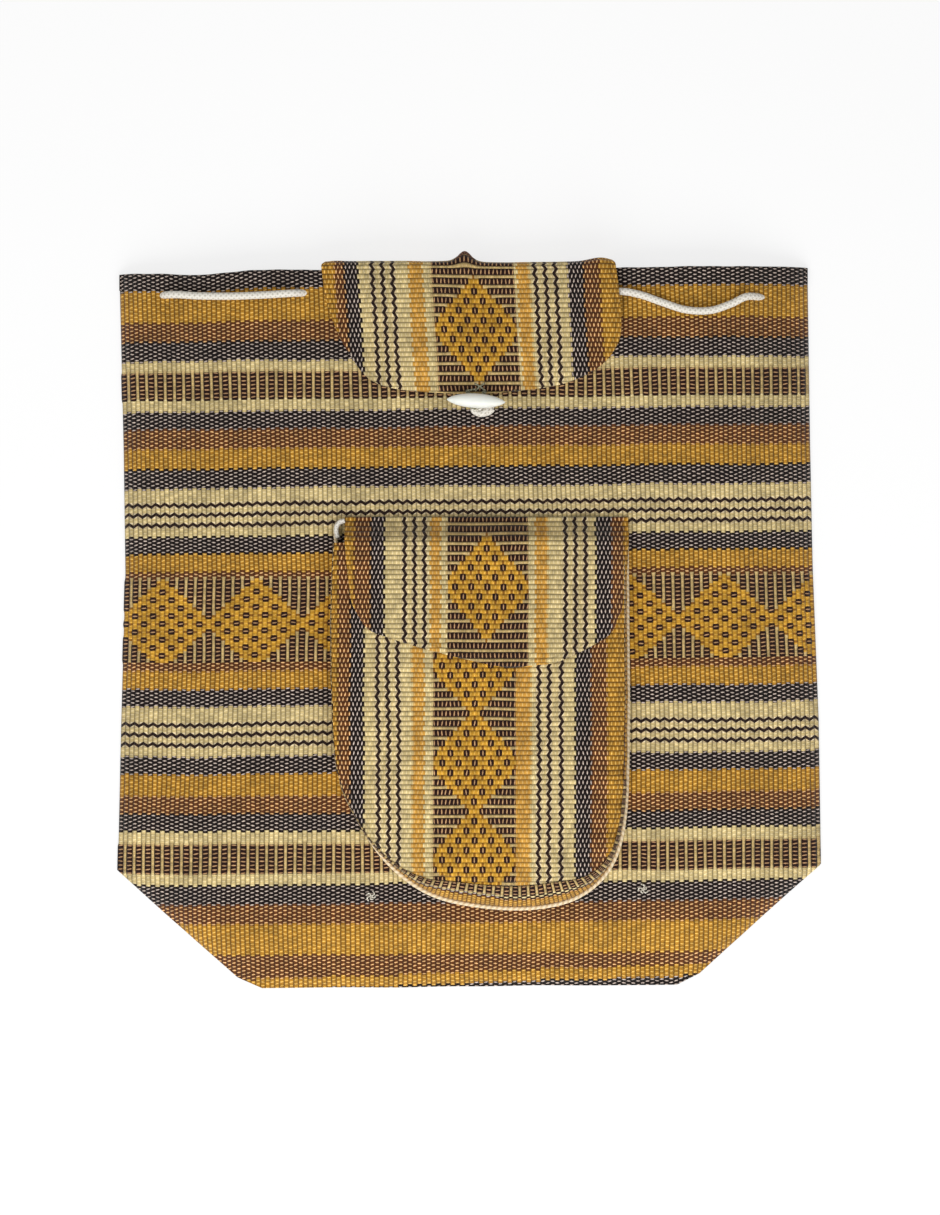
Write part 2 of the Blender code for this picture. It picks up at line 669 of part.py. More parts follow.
def make_pocket_flap():
    rows = []
    relief = []
    for y in POCKET_FLAP_ROWS:
        row = []
        heights = []
        for j, (x, _) in enumerate(POCKET_FLAP_COLUMNS):
            centre = POCKET_FLAP_COLUMNS[j - 1][1] == POCKET_FLAP_COLUMNS[j][1] == "diamond"
            depth = WEAVE_GROOVE if j % 2 == 0 else 0.0
            if centre:
                depth = 0.0 if y == POCKET_FLAP_DIAMOND_Y else WEAVE_GROOVE
            row.append((x, y, pocket_flap_z(x, y) - depth))
            heights.append(-depth)
        rows.append(row)
        relief.append(heights)
    yarn_of = column_yarn(POCKET_FLAP_COLUMNS, -0.01)
    flap = grid_object("pocket_flap", rows, relief, yarn_of, False)
    add_thickness(flap)
    outline = [(p.x, p.y) for p in spline([(*p, 0.0) for p in POCKET_FLAP_OUTLINE], 3)]
    boolean(flap, prism("pocket_flap_outline", outline, -5.0, 60.0), "INTERSECT")


def make_straps():
    """Two flat woven straps, flat on the surface under the sack."""
    for name, side in (("shoulder_strap_left", -1), ("shoulder_strap_right", 1)):
        path = spline([(side * x, y, 0.0) for x, y in STRAP_PATH], 4)
        rings = []
        for n, point in enumerate(path):
            run = path[min(n + 1, len(path) - 1)] - path[max(n - 1, 0)]
            across = Vector((-run.y, run.x, 0.0)).normalized() * (STRAP_WIDTH / 2)
            ring = []
            for offset, z in ((-1.0, 0.0), (1.0, 0.0), (1.0, 1.6), (0.9, STRAP_THICK),
                              (-0.9, STRAP_THICK), (-1.0, 1.6)):
                place = point + across * offset
                ring.append((place.x, place.y, z))
            rings.append(ring)
        loft(name, rings, MATERIALS["strap"])


def make_hang_loop():
    """A narrow tape folded on itself, its end showing past the top flap."""
    half = HANG_LOOP_WIDTH / 2
    rings = []
    for y, share, height in ((HANG_LOOP_ROOT, 1.0, HANG_LOOP_THICK),
                             (HANG_LOOP_TOP - 2.5, 1.0, HANG_LOOP_THICK),
                             (HANG_LOOP_TOP - 0.6, 0.95, HANG_LOOP_THICK * 0.9),
                             (HANG_LOOP_TOP, 0.85, HANG_LOOP_THICK * 0.55)):
        low = (HANG_LOOP_THICK - height) / 2 if share < 1 else 0.0
        ring = [(HANG_LOOP_X + end * half * share, y, z)
                for end, z in ((-1, low), (1, low), (1, low + height), (-1, low + height))]
        rings.append(ring)
    loft("hang_loop", rings, MATERIALS["black"])


def make_tacks():
    """Small tufts of white thread on the front, low beside the pocket."""
    for side, (x, y) in TACKS.items():
        profile = [(0.0, TACK_HEIGHT), (TACK_WIDTH * 0.3, TACK_HEIGHT * 0.9),
                   (TACK_WIDTH / 2, TACK_HEIGHT * 0.45), (TACK_WIDTH * 0.45, 0.0), (0.0, 0.0)]
        tack = turned(f"thread_tack_{side}", profile, 12, MATERIALS["thread"])
        tack.location = Vector((x, y, front_z(x, y) + GAP + 0.1)) * MM


for old in list(bpy.data.objects):
    bpy.data.objects.remove(old)

PARTS = bpy.data.collections.new("woven_drawstring_backpack")
CUTTERS = bpy.data.collections.new("cutters")
bpy.context.scene.collection.children.link(PARTS)
bpy.context.scene.collection.children.link(CUTTERS)
MATERIALS = {name: make_material(f"{name} yarn", shade, 0.85) for name, shade in YARNS.items()}
for plain_name, plain_shade in PLAIN.items():
    MATERIALS[plain_name] = make_material(plain_name, plain_shade, 0.8)
MATERIALS["toggle"].node_tree.nodes["Principled BSDF"].inputs["Roughness"].default_value = 0.3

make_body()
make_flap()
make_flap_loop()
make_knot()
make_toggle()
tube("drawstring", cord_points(), CORD, MATERIALS["cord"])
make_pocket_front()
make_pocket_gusset()
make_pocket_piping()
make_pocket_flap()
make_straps()
make_hang_loop()
make_tacks()
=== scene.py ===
# %% [markdown]
# # A flat-woven drawstring backpack
# The real bag is sewn from one hand-woven cotton cloth. Thick ribs run one way, thin threads cross
# them, and where a thin thread passes over a rib it shows as a small bead. Everything the eye
# reads, the stripes, the toothed borders, the wavy lines and the diamonds, is made of those beads.
# So the lesson builds a loom: every cell where a rib meets a thread is one face of the mesh, and a
# draft, as a weaver would write it, says which yarn lies on top there.
# The CAD frame gives the size and the place of each piece. It is imported and never moved.

import math

import bpy
import numpy as np
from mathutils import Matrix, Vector, noise


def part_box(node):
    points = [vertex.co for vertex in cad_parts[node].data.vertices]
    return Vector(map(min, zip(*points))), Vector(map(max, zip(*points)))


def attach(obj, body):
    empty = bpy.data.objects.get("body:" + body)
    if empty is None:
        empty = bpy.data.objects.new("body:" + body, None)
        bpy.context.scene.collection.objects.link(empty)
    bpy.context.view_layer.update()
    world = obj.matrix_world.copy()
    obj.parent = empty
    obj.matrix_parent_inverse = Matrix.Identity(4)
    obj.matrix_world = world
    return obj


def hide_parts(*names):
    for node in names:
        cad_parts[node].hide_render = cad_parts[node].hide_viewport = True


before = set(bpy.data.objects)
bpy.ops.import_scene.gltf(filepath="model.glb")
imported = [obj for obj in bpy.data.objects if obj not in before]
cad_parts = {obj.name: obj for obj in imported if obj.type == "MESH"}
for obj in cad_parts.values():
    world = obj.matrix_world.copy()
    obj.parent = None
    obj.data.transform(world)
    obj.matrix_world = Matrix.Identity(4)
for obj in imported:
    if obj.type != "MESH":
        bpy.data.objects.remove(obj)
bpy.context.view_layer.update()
MM = 0.001

# %% [markdown]
# ## Camera
# The photograph looks straight down on the bag from far away: a long lens at 2.4 metres keeps the
# sides of the bag from showing. The picture's long side is its height, and Blender's sensor width
# belongs to the long side, so the focal length follows from the 698.6 mm that the height covers.

# %% Camera
SENSOR = 36.0
VIEW_HEIGHT = 698.6
VIEW_PLANE = 16.0
VIEW_CENTRE = (0.3, 7.8)
CAMERA_HEIGHT = 2400.0


def show(name, data):
    """Puts a mesh, a camera or a lamp into the scene."""
    item = bpy.data.objects.new(name, data)
    bpy.context.scene.collection.objects.link(item)
    return item


camera = show("camera", bpy.data.cameras.new("camera"))
bpy.context.scene.camera = camera
camera.location = Vector((*VIEW_CENTRE, CAMERA_HEIGHT)) * MM
camera.data.sensor_width = SENSOR
camera.data.lens = SENSOR * (CAMERA_HEIGHT - VIEW_PLANE) / VIEW_HEIGHT
print(f"lens {camera.data.lens:.1f} mm")

# %% [markdown]
# ## Small helpers
# An eased step, a table that is read between its rows, a smooth curve through points, the way and
# the length along a line, slow noise, sRGB hex colours turned into the linear values that shaders
# work with, and one function that adds a shader node. They are used for every piece below.


# %% Helpers
NOISE_GAIN = 1.6


def smooth(start, end, value):
    """0 at start, 1 at end, eased between them, for numbers or arrays."""
    t = np.clip((value - start) / (end - start), 0.0, 1.0)
    return t * t * (3 - 2 * t)


def hump(value, middle, reach):
    """A smooth hump, 1 in the middle, that fades over about its reach on both sides."""
    return np.exp(-((value - middle) / reach) ** 2)


def table(pairs, y):
    """Straight interpolation in (y, value) pairs that run from high y to low."""
    places, values = zip(*pairs[::-1])
    return np.interp(y, places, values)


def spline(points, steps):
    """Points along a smooth curve through the given ones."""
    given = [np.array(p, float) for p in points]
    ends = [2 * given[0] - given[1], *given, 2 * given[-1] - given[-2]]
    out = []
    for a, b, c, d in zip(ends, ends[1:], ends[2:], ends[3:]):
        for i in range(steps):
            t = i / steps
            out.append(0.5 * (2 * b + (c - a) * t + (2 * a - 5 * b + 4 * c - d) * t ** 2
                              + (3 * b - a - 3 * c + d) * t ** 3))
    out.append(given[-1])
    return np.array(out)


def lengths(line):
    """How far along a line each of its points is."""
    return np.concatenate([[0], np.cumsum(np.linalg.norm(np.diff(line, axis=0), axis=1))])


def headings(line):
    """The way a line runs at each of its points."""
    run = np.gradient(line, axis=0)
    return run / np.linalg.norm(run, axis=1)[:, None]


def drift(x, y, size, seed):
    """Slow unevenness from -1 to 1 over about size millimetres, the same in each run."""
    flat = zip(np.ravel(x), np.ravel(y))
    values = [noise.noise(Vector((a / size, b / size, seed))) for a, b in flat]
    return np.array(values).reshape(np.shape(x)) * NOISE_GAIN


def linear(hex_colour):
    """An sRGB hex colour as linear values with alpha."""
    channels = [int(hex_colour[i:i + 2], 16) / 255 for i in (1, 3, 5)]
    return [c / 12.92 if c <= 0.04045 else ((c + 0.055) / 1.055) ** 2.4 for c in channels] + [1.0]


def wire(node, feeds):
    """Sets a node's inputs to values or links them. A node stands for its first output."""
    for key, value in feeds.items():
        if isinstance(value, bpy.types.Node):
            value = value.outputs[0]
        if isinstance(value, bpy.types.NodeSocket):
            node.id_data.links.new(value, node.inputs[key])
        else:
            node.inputs[key].default_value = value


def add(nodes, kind, feeds=None, **settings):
    """Adds one shader node with its settings and links."""
    node = nodes.new(kind)
    for key, value in settings.items():
        setattr(node, key, value)
    wire(node, feeds or {})
    return node


def new_material(name):
    """A material, its nodes and its shader."""
    material = bpy.data.materials.new(name)
    material.use_nodes = True
    nodes = material.node_tree.nodes
    return material, nodes, nodes["Principled BSDF"]


# %% [markdown]
# ## The shape of the sack
# The bag is empty and lies on its back. It is a pillow 15 mm thick with folded sides, a folded
# bottom and boxed lower corners, and it rests on its two straps and on the flap's root. These
# tables repeat the CAD part's, in millimetres, so the cloth lies where the solids are.

# %% The shape of the sack
MOUTH_Y = 201.4
SLANT = 0.010
CORNER_Y = -142.5
BOTTOM_Y = -211.3
LEFT_EDGE = [(201.4, 202.4), (100.0, 200.0), (30.0, 199.0), (-60.0, 201.5), (CORNER_Y, 203.3),
             (-205.0, 134.0), (-211.3, 120.0)]
RIGHT_EDGE = [(201.4, 195.5), (100.0, 197.0), (30.0, 198.5), (-60.0, 202.0), (CORNER_Y, 203.3),
              (-205.0, 133.0), (-211.3, 120.0)]
THICKNESS = [(201.4, 17.0), (150.0, 16.2), (50.0, 15.4), (-100.0, 14.4), (-160.0, 12.0),
             (-190.0, 9.4), (-205.0, 6.6), (-208.4, 4.5), (-211.3, 0.0)]
PILLOW_POWER = 8
EDGE_Z = 1.9
OVER_STRAPS = 3.0
OVER_ROOT = 4.7
CLOTH = 1.8
CLOTH_GAP = 0.4


def under_z(x, y):
    """Height of the sack's underside over the straps and the flap's root."""
    straps = OVER_STRAPS * smooth(176, 150, np.abs(x)) * smooth(-198, -175, y)
    root = OVER_ROOT * smooth(125, 99, np.abs(x)) * smooth(122, 150, y)
    return np.maximum(straps, root)


def edge_at(x, row):
    """Half width of the sack on the side of x."""
    return np.where(np.asarray(x) > 0, table(RIGHT_EDGE, row), table(LEFT_EDGE, row))


def sack_z(x, y):
    """Height of the sack's top face."""
    row = y - SLANT * x
    share = np.clip(np.abs(x) / edge_at(x, row), 0.0, 1.0)
    top = under_z(x, y) + table(THICKNESS, row) * np.sqrt(1 - share ** PILLOW_POWER)
    return np.maximum(top, EDGE_Z)


def sack_back_z(x, y):
    """Height of the sack's bottom face."""
    row = y - SLANT * x
    share = np.clip(np.abs(x) / edge_at(x, row), 0.0, 1.0)
    lift = np.maximum(smooth(0.955, 1.0, share), smooth(-204.0, BOTTOM_Y, row))
    return np.maximum(under_z(x, y), EDGE_Z * lift)


print(f"sack {LEFT_EDGE[0][1] + RIGHT_EDGE[0][1]:.0f} mm wide at its mouth")

# %% [markdown]
# ## The drawstring's way
# One white cord is threaded through slots below the hem and comes out on both sides of the flap.
# Its two ends run under the flap to the knot. Where it shows, the route follows the photograph.
# It lies outside the cloth, just inside the front cloth, or along the back wall.

# %% Drawstring route
CORD = 4.2
CORD_ROUTE = [
    ("out", (-1.8, 133.4), (-7.0, 146.0), (-16.0, 162.0), (-25.0, 176.0), (-36.0, 184.5),
     (-45.0, 187.5)),
    ("in", (-58.0, 188.6), (-72.0, 188.6), (-90.0, 188.6)),
    ("out", (-102.0, 187.9), (-115.0, 187.2), (-135.0, 186.4), (-155.0, 186.6), (-171.0, 187.6)),
    ("in", (-181.5, 186.6), (-184.5, 178.0), (-176.0, 170.0)),
    ("back", (-164.0, 167.8), (-145.0, 168.0), (-120.0, 168.6), (-80.0, 169.0), (-30.0, 169.0),
     (30.0, 169.0), (80.0, 169.0), (120.0, 168.6), (145.0, 168.0), (162.0, 167.8)),
    ("in", (173.5, 170.0), (178.5, 177.0), (175.0, 184.5)),
    ("out", (160.5, 186.5), (150.0, 182.0), (138.0, 178.2), (124.0, 178.6), (110.0, 183.0),
     (98.0, 187.0), (86.0, 189.0), (72.0, 187.0), (52.0, 178.0), (34.0, 163.0), (19.0, 146.0),
     (9.4, 133.4)),
]
CORD_HOLES = [(-50.5, 188.4), (-96.0, 188.3), (-176.5, 187.2), (169.0, 186.0)]
KNOT = (3.7, 125.9)
KNOT_REACH = 7.5


def cord_z(x, y, layer):
    """Height of the drawstring's centre."""
    if layer == "out":
        return float(sack_z(x, y)) + 0.3 + CORD / 2
    along_back = float(under_z(x, y)) + CLOTH + CORD / 2 + 1.3
    if layer == "back":
        return along_back
    under_front = float(sack_z(x, y)) - CLOTH - CORD / 2 - 0.8
    return under_front + (along_back - under_front) * float(smooth(150, 170, abs(x)))


cord_line = spline([(x, y, cord_z(x, y, layer)) for layer, *run in CORD_ROUTE for x, y in run], 8)
print(f"drawstring {lengths(cord_line)[-1]:.0f} mm from knot to knot")


def cord_lift(x, y):
    """How far the flap lies over the sack: it rides over both cords and the knot."""
    shown = [p for p in cord_line[::4] if abs(p[0]) < 100 and p[2] > sack_z(p[0], p[1])]
    reach = np.min([np.hypot(x - p[0], y - p[1]) for p in shown], axis=0)
    off_knot = np.hypot(x - KNOT[0], y - KNOT[1]) - KNOT_REACH
    reach = np.minimum(reach, np.maximum(0.0, off_knot))
    return CLOTH_GAP + (CORD + 1.05) * (1 - smooth(7, 30, reach))


# %% [markdown]
# ## The loom
# A panel is a grid of cells: ribs one way, half a thread's pitch the other. The photograph gives
# 2.725 mm a rib and 2.28 mm from bead to bead. A cell carries two colours as attributes that the
# material reads, that of the raised bead, partly a painted highlight, and that of what lies between
# beads, partly painted shade. The second one's alpha says how dark the painted shade in the valley
# between two ribs is. The cell's place in the weave is its UV.
# Corners of cells past the cut line move to the nearest point of that line, so the edge of the
# cloth is clean, and cells wholly past it are left out. Two things on the real cloth are wider or
# more crooked than a cell, and moved corners draw them: the rungs of a ladder are wider than the
# ribs between them, and a wavy line swings by most of a half thread from rib to rib.

# %% The loom
RIB = 2.725
PICK = 1.141
FAR = 99.0
EVEN_SHIFT = 20
SMALLEST_CELL = 0.02
RUNG_SPREAD = 0.17
WAVE_SWING = 0.75
WAVE_SPREAD = 0.32


def nearest_on(outline, a, b):
    """Nearest point of a closed outline to each flat point, its distance, and what is inside."""
    corners = np.array(outline, float)
    runs = np.roll(corners, -1, axis=0) - corners
    points = np.stack([np.ravel(a), np.ravel(b)], -1)[:, None]
    t = np.clip(((points - corners) * runs).sum(-1) / (runs * runs).sum(-1), 0, 1)
    near = corners + t[..., None] * runs
    gap = np.linalg.norm(points - near, axis=-1)
    best = gap.argmin(1)
    ahead = corners + runs
    level = points[..., 1]
    straddle = (corners[:, 1] > level) != (ahead[:, 1] > level)
    rise = np.where(np.abs(runs[:, 1]) < 1e-9, 1e-9, runs[:, 1])
    crossing = corners[:, 0] + (level - corners[:, 1]) / rise * runs[:, 0]
    inside = (straddle & (points[..., 0] < crossing)).sum(1) % 2 == 1
    pick = np.arange(len(best))
    shape = np.shape(a)
    found = near[pick, best]
    return (found[:, 0].reshape(shape), found[:, 1].reshape(shape),
            gap[pick, best].reshape(shape), inside.reshape(shape))


def cut_to(outline):
    """A trim that pulls cells in to a closed outline. It also gives their distance from it."""
    def trim(a, b):
        near_a, near_b, gap, inside = nearest_on(outline, a, b)
        return (np.where(inside, a, near_a), np.where(inside, b, near_b),
                np.where(inside, gap, 0.0), ~inside)
    return trim


def weave(name, across, along, flat_of, cell_of, trim, shape, draft, flip=False):
    """A woven panel. across are rib lines and along half-thread lines of the grid.

    flat_of lays the grid out in mm, trim cuts it, cell_of turns flat places into ribs and half
    threads again, shape lifts them into space, and draft names the kind of yarn in each cell.
    """
    u, v = np.meshgrid(across, along, indexing="ij")
    a, b, gap, outside = trim(*flat_of(u, v))
    order = np.arange(u.size).reshape(u.shape)
    corners = [order[:-1, :-1], order[:-1, 1:], order[1:, 1:], order[1:, :-1]]
    quads = np.stack(corners, -1).reshape(-1, 4)
    if flip:
        quads = quads[:, ::-1]
    rib, half = (np.floor((w[:-1, :-1] + w[1:, 1:]) / 2).astype(int) for w in (u, v))
    kind = draft(rib, half)
    rungs, waves = (np.pad((kind == NO[yarn]).astype(float), 1) for yarn in ("rung", "wave"))
    level = (rungs[:, :-1] + rungs[:, 1:]) / 2
    spread = RUNG_SPREAD * (level[:-1] - level[1:]) * (gap > 0)
    rows = np.maximum(waves[:-1], waves[1:])
    after, before = rows[:, :-1], rows[:, 1:]
    swing = WAVE_SWING * np.cos(math.pi * u) * np.maximum(after, before)
    swing = (swing + WAVE_SPREAD * (after - before)) * (gap > 0)
    moved = [c + spread * np.gradient(c, across, axis=0) + swing * np.gradient(c, along, axis=1)
             for c in (a, b)]
    x, y, z = shape(*moved, gap)
    flat_points = np.stack([a.ravel(), b.ravel()], -1)[quads]
    shift = np.roll(flat_points, -1, axis=1)
    area = 0.5 * np.abs((flat_points[..., 0] * shift[..., 1]
                         - shift[..., 0] * flat_points[..., 1]).sum(1))
    keep = ~outside.ravel()[quads].all(1) & (area > SMALLEST_CELL)
    quads, yarns = quads[keep], kind.ravel()[keep]
    used = np.unique(quads)
    renumber = np.full(order.size, -1)
    renumber[used] = np.arange(len(used))
    points = np.stack([x.ravel(), y.ravel(), z.ravel()], -1)[used] * MM
    mesh = bpy.data.meshes.new(name)
    mesh.from_pydata(points.tolist(), [], renumber[quads].tolist())
    # bead holds the bead colour with its painted highlight, ground the colour between beads with
    # painted shade, and its alpha the strength of the painted valley shade.
    for number, key in enumerate(("bead", "ground")):
        colours = np.repeat(SHADES[yarns, number], 4, axis=0)
        layer = mesh.color_attributes.new(key, "BYTE_COLOR", "CORNER")
        layer.data.foreach_set("color", colours.astype(np.float32).ravel())
    cells = np.stack([w.ravel() for w in cell_of(a, b)], -1)[quads]
    mesh.uv_layers.new(name="cells").data.foreach_set("uv", cells.astype(np.float32).ravel())
    edge = mesh.attributes.new("edge_mm", "FLOAT", "POINT")
    edge.data.foreach_set("value", gap.ravel()[used].astype(np.float32))
    mesh.polygons.foreach_set("use_smooth", np.ones(len(quads), bool))
    mesh.materials.append(woven_cotton)
    print(f"{name}: {len(quads)} cells")
    return show(name, mesh)


# %% [markdown]
# ## Woven cotton
# Coarse cotton yarn has no gloss, only a faint fuzz that catches the light. In each cell the
# material draws the bead as an ellipse, most of a rib wide and a third of a thread tall, over the
# colour between beads. The bead colour is partly the yarn's own and partly a painted highlight on
# the bead's round top, and the colour between beads is partly painted shade. The material also
# darkens the valley between two ribs with painted shade. Neighbouring ribs are half a step apart,
# as in any plain weave. Hand-spun yarn is uneven, so each bead leans and slips a little and is
# lighter or darker than the next, and dye lots drift slowly over the cloth. The same masks drive
# the bump, so light picks out the ribs and the beads. A seam shows as a darker line 3.2 mm inside a
# cut edge.

# %% Woven cotton
BEAD_HALF_WIDTH = 0.42
BEAD_HALF_HEIGHT = 0.16
SEAM_INSIDE = 3.2
woven_cotton, n, cotton = new_material("woven cotton")
cell = add(n, "ShaderNodeUVMap", uv_map="cells")
split = add(n, "ShaderNodeSeparateXYZ", {0: cell})
rib_no = add(n, "ShaderNodeMath", {0: split}, operation="FLOOR")
stagger = add(n, "ShaderNodeMath", {0: rib_no, 1: 2.0}, operation="FLOORED_MODULO")
rib_part = add(n, "ShaderNodeMath", {0: split}, operation="FRACT")
p = add(n, "ShaderNodeMath", {0: rib_part, 1: 0.5}, operation="SUBTRACT")
moved = add(n, "ShaderNodeMath", {0: split.outputs[1], 1: stagger}, operation="ADD")
halved = add(n, "ShaderNodeMath", {0: moved, 1: 0.5, 2: 0.25}, operation="MULTIPLY_ADD")
step_part = add(n, "ShaderNodeMath", {0: halved}, operation="FRACT")
step_no = add(n, "ShaderNodeMath", {0: halved}, operation="FLOOR")
q_straight = add(n, "ShaderNodeMath", {0: step_part, 1: 0.5}, operation="SUBTRACT")
which = add(n, "ShaderNodeCombineXYZ", {0: rib_no, 1: step_no})
uneven = add(n, "ShaderNodeTexWhiteNoise", {0: which}, noise_dimensions="3D")
chance = add(n, "ShaderNodeSeparateXYZ", {0: uneven.outputs[1]})
lean = add(n, "ShaderNodeMapRange", {0: chance, 3: -0.20, 4: 0.32})
leaned = add(n, "ShaderNodeMath", {0: p, 1: lean, 2: q_straight}, operation="MULTIPLY_ADD")
slip = add(n, "ShaderNodeMapRange", {0: chance.outputs[1], 3: -0.05, 4: 0.05})
q = add(n, "ShaderNodeMath", {0: leaned, 1: slip}, operation="ADD")
p_wide = add(n, "ShaderNodeMath", {0: p, 1: BEAD_HALF_WIDTH}, operation="DIVIDE")
q_tall = add(n, "ShaderNodeMath", {0: q, 1: BEAD_HALF_HEIGHT}, operation="DIVIDE")
p2 = add(n, "ShaderNodeMath", {0: p_wide, 1: 2.0}, operation="POWER")
q2 = add(n, "ShaderNodeMath", {0: q_tall, 1: 2.0}, operation="POWER")
ring = add(n, "ShaderNodeMath", {0: p2, 1: q2}, operation="ADD")
bead_mask = add(n, "ShaderNodeMapRange", {0: ring, 1: 1.45, 2: 0.45, 3: 0.0, 4: 1.0},
                interpolation_type="SMOOTHSTEP")
# Painted shade in the valley between two ribs; in the ladders it also narrows the pale ribs between
# the dark rungs.
valley_side = add(n, "ShaderNodeMath", {0: p}, operation="ABSOLUTE")
valley = add(n, "ShaderNodeMapRange", {0: valley_side, 1: 0.30, 2: 0.5, 3: 0.0, 4: 1.0},
             interpolation_type="SMOOTHSTEP")
# Bead colour with its painted highlight, and the colour between beads with painted shade.
bead_and_highlight_colour = add(n, "ShaderNodeAttribute", attribute_name="bead")
ground_and_shade_colour = add(n, "ShaderNodeAttribute", attribute_name="ground")
yarn = add(n, "ShaderNodeMix", {0: bead_mask, 6: ground_and_shade_colour, 7: bead_and_highlight_colour},
           data_type="RGBA")
place = add(n, "ShaderNodeTexCoord").outputs[3]
patches = add(n, "ShaderNodeTexNoise", {0: place, 2: 45.0, 3: 3.0, 4: 0.6})
fibre = add(n, "ShaderNodeTexNoise", {0: place, 2: 1900.0, 3: 2.0})
shade = add(n, "ShaderNodeMapRange", {0: chance.outputs[2], 3: 0.74, 4: 1.16})
patch_shade = add(n, "ShaderNodeMapRange", {0: patches, 1: 0.3, 2: 0.7, 3: 0.86, 4: 1.12})
fibre_shade = add(n, "ShaderNodeMapRange", {0: fibre, 1: 0.3, 2: 0.7, 3: 0.88, 4: 1.10})
valley_painted_shade = add(n, "ShaderNodeMath", {0: valley, 1: ground_and_shade_colour.outputs[3]},
                  operation="MULTIPLY")
valley_shade = add(n, "ShaderNodeMath", {0: 1.0, 1: valley_painted_shade}, operation="SUBTRACT")
edge_at_point = add(n, "ShaderNodeAttribute", attribute_name="edge_mm")
seam_off = add(n, "ShaderNodeMath", {0: edge_at_point.outputs[2], 1: SEAM_INSIDE},
               operation="SUBTRACT")
seam_side = add(n, "ShaderNodeMath", {0: seam_off}, operation="ABSOLUTE")
seam_shade = add(n, "ShaderNodeMapRange", {0: seam_side, 1: 0.0, 2: 0.9, 3: 0.72, 4: 1.0},
                 interpolation_type="SMOOTHSTEP")
for factor in (patch_shade, fibre_shade, valley_shade, seam_shade):
    shade = add(n, "ShaderNodeMath", {0: shade, 1: factor}, operation="MULTIPLY")
tinted = add(n, "ShaderNodeVectorMath", {0: yarn.outputs[2], 3: shade}, operation="SCALE")
rib_round = add(n, "ShaderNodeMath", {0: p2, 1: -0.8, 2: 1.0}, operation="MULTIPLY_ADD")
bead_rise = add(n, "ShaderNodeMath", {0: bead_mask, 1: 0.45, 2: rib_round},
                operation="MULTIPLY_ADD")
fuzz = add(n, "ShaderNodeMath", {0: fibre, 1: 0.25, 2: bead_rise}, operation="MULTIPLY_ADD")
relief = add(n, "ShaderNodeBump", {"Strength": 0.8, "Distance": 0.0007, "Height": fuzz})
wire(cotton, {"Base Color": tinted, "Normal": relief, "Roughness": 0.92,
              "Specular IOR Level": 0.2, "Sheen Weight": 0.12, "Sheen Roughness": 0.5})

# %% [markdown]
# ## Yarns
# Each kind of weave has the colour of its beads, the colour between them, and how dark the painted
# shade in the valley between two ribs is. The bead colour is partly the yarn's own and partly a
# painted highlight on the bead's round top, and the colour between beads is partly painted shade.
# In the dark bands the beads are pale, and in the gold and brown bands they are a lighter tone of
# the dye. Ribs and rungs make the ladders, a wave with knobs beside it a wavy line, and ochre with
# its halo the diamonds. NO gives each kind its number. In a diamond, dark dots sit on every second
# rib, eight half threads apart, and step by four from one such rib to the next.

# %% Yarns
# Each entry: bead colour with a painted highlight, colour between beads with painted shade, and the
# strength of the painted valley shade.
YARNS = {
    "black": ("#CBB9AC", "#160B08", 0.50),
    "brown": ("#EBBA7E", "#5E3413", 0.45),
    "gold": ("#EDBD5E", "#AA7823", 0.62),
    "beige": ("#EAD6A2", "#CDB67E", 0.52),
    "knob": ("#F0DDB4", "#CDB68A", 0.62),
    "orange": ("#DDB368", "#C48F3A", 0.50),
    "rib": ("#D2B680", "#BFA269", 0.70),
    "rung": ("#BF9468", "#260F06", 0.30),
    "wave": ("#2E1C14", "#24130D", 0.20),
    "ochre": ("#E3B04A", "#C08C28", 0.35),
    "halo": ("#D9A94A", "#8A5A18", 0.50),
}
NO = {kind: number for number, kind in enumerate(YARNS)}
SHADES = np.array([[linear(bead), linear(ground)[:3] + [valley]]
                   for bead, ground, valley in YARNS.values()])
DIAMOND_RIBS = 10.0
DIAMOND_HALVES = 21.0
DIAMOND_REACH = 1.12
DOT_STEP = 4


def bands(kinds_and_heights, pitch):
    """The kind of yarn at each half thread, from (kind, height in mm) pairs."""
    out = []
    total = 0.0
    for kind, height in kinds_and_heights:
        total += height
        out += [NO[kind]] * (round(total / pitch) - len(out))
    return np.array(out)


def fill_pattern(rib, half, kind, diamonds, waves):
    """Puts the ladders, the diamonds and the wavy lines into the plain bands."""
    odd = rib % 2 == 1
    kind = np.where((kind == NO["rung"]) & odd, NO["rib"], kind)
    for first, last, mid_rib, mid_half, period in diamonds:
        field = (half >= first) & (half < last)
        off, over = rib - mid_rib, half - mid_half
        step = (off + period // 2) % period - period // 2 if period else off
        within = np.abs(step) / DIAMOND_RIBS + np.abs(over) / DIAMOND_HALVES <= DIAMOND_REACH
        dot = ((over - DOT_STEP * (off // 2 % 2) + 1) % (2 * DOT_STEP) <= 2) & ~odd
        kind = np.where(field & within & ~dot, NO["ochre"], kind)
        kind = np.where(field & ~within & odd, NO["rib"], kind)
        kind = np.where(field & ~odd & (~within | dot), NO["rung"], kind)
        for side in (-1, 1):
            beside = (over - DOT_STEP * ((off + side) // 2 % 2)) % (2 * DOT_STEP) == 0
            kind = np.where(field & within & odd & beside, NO["halo"], kind)
    for at in waves:
        kind = np.where(np.abs(half - at) == 1, NO["knob"], kind)
    for at in waves:
        kind = np.where(half == at, NO["wave"], kind)
    return kind


# %% [markdown]
# ## The sack's draft
# The bands from the mouth down, as measured on the photograph: dark hem, gold, brown, black, beige
# with a ladder in it, and so on, with the diamond band in the middle. A border between two bands
# steps by half a thread on every second rib, which gives the toothed look. The last bands lie at
# the fold, where the cloth is a little askew.

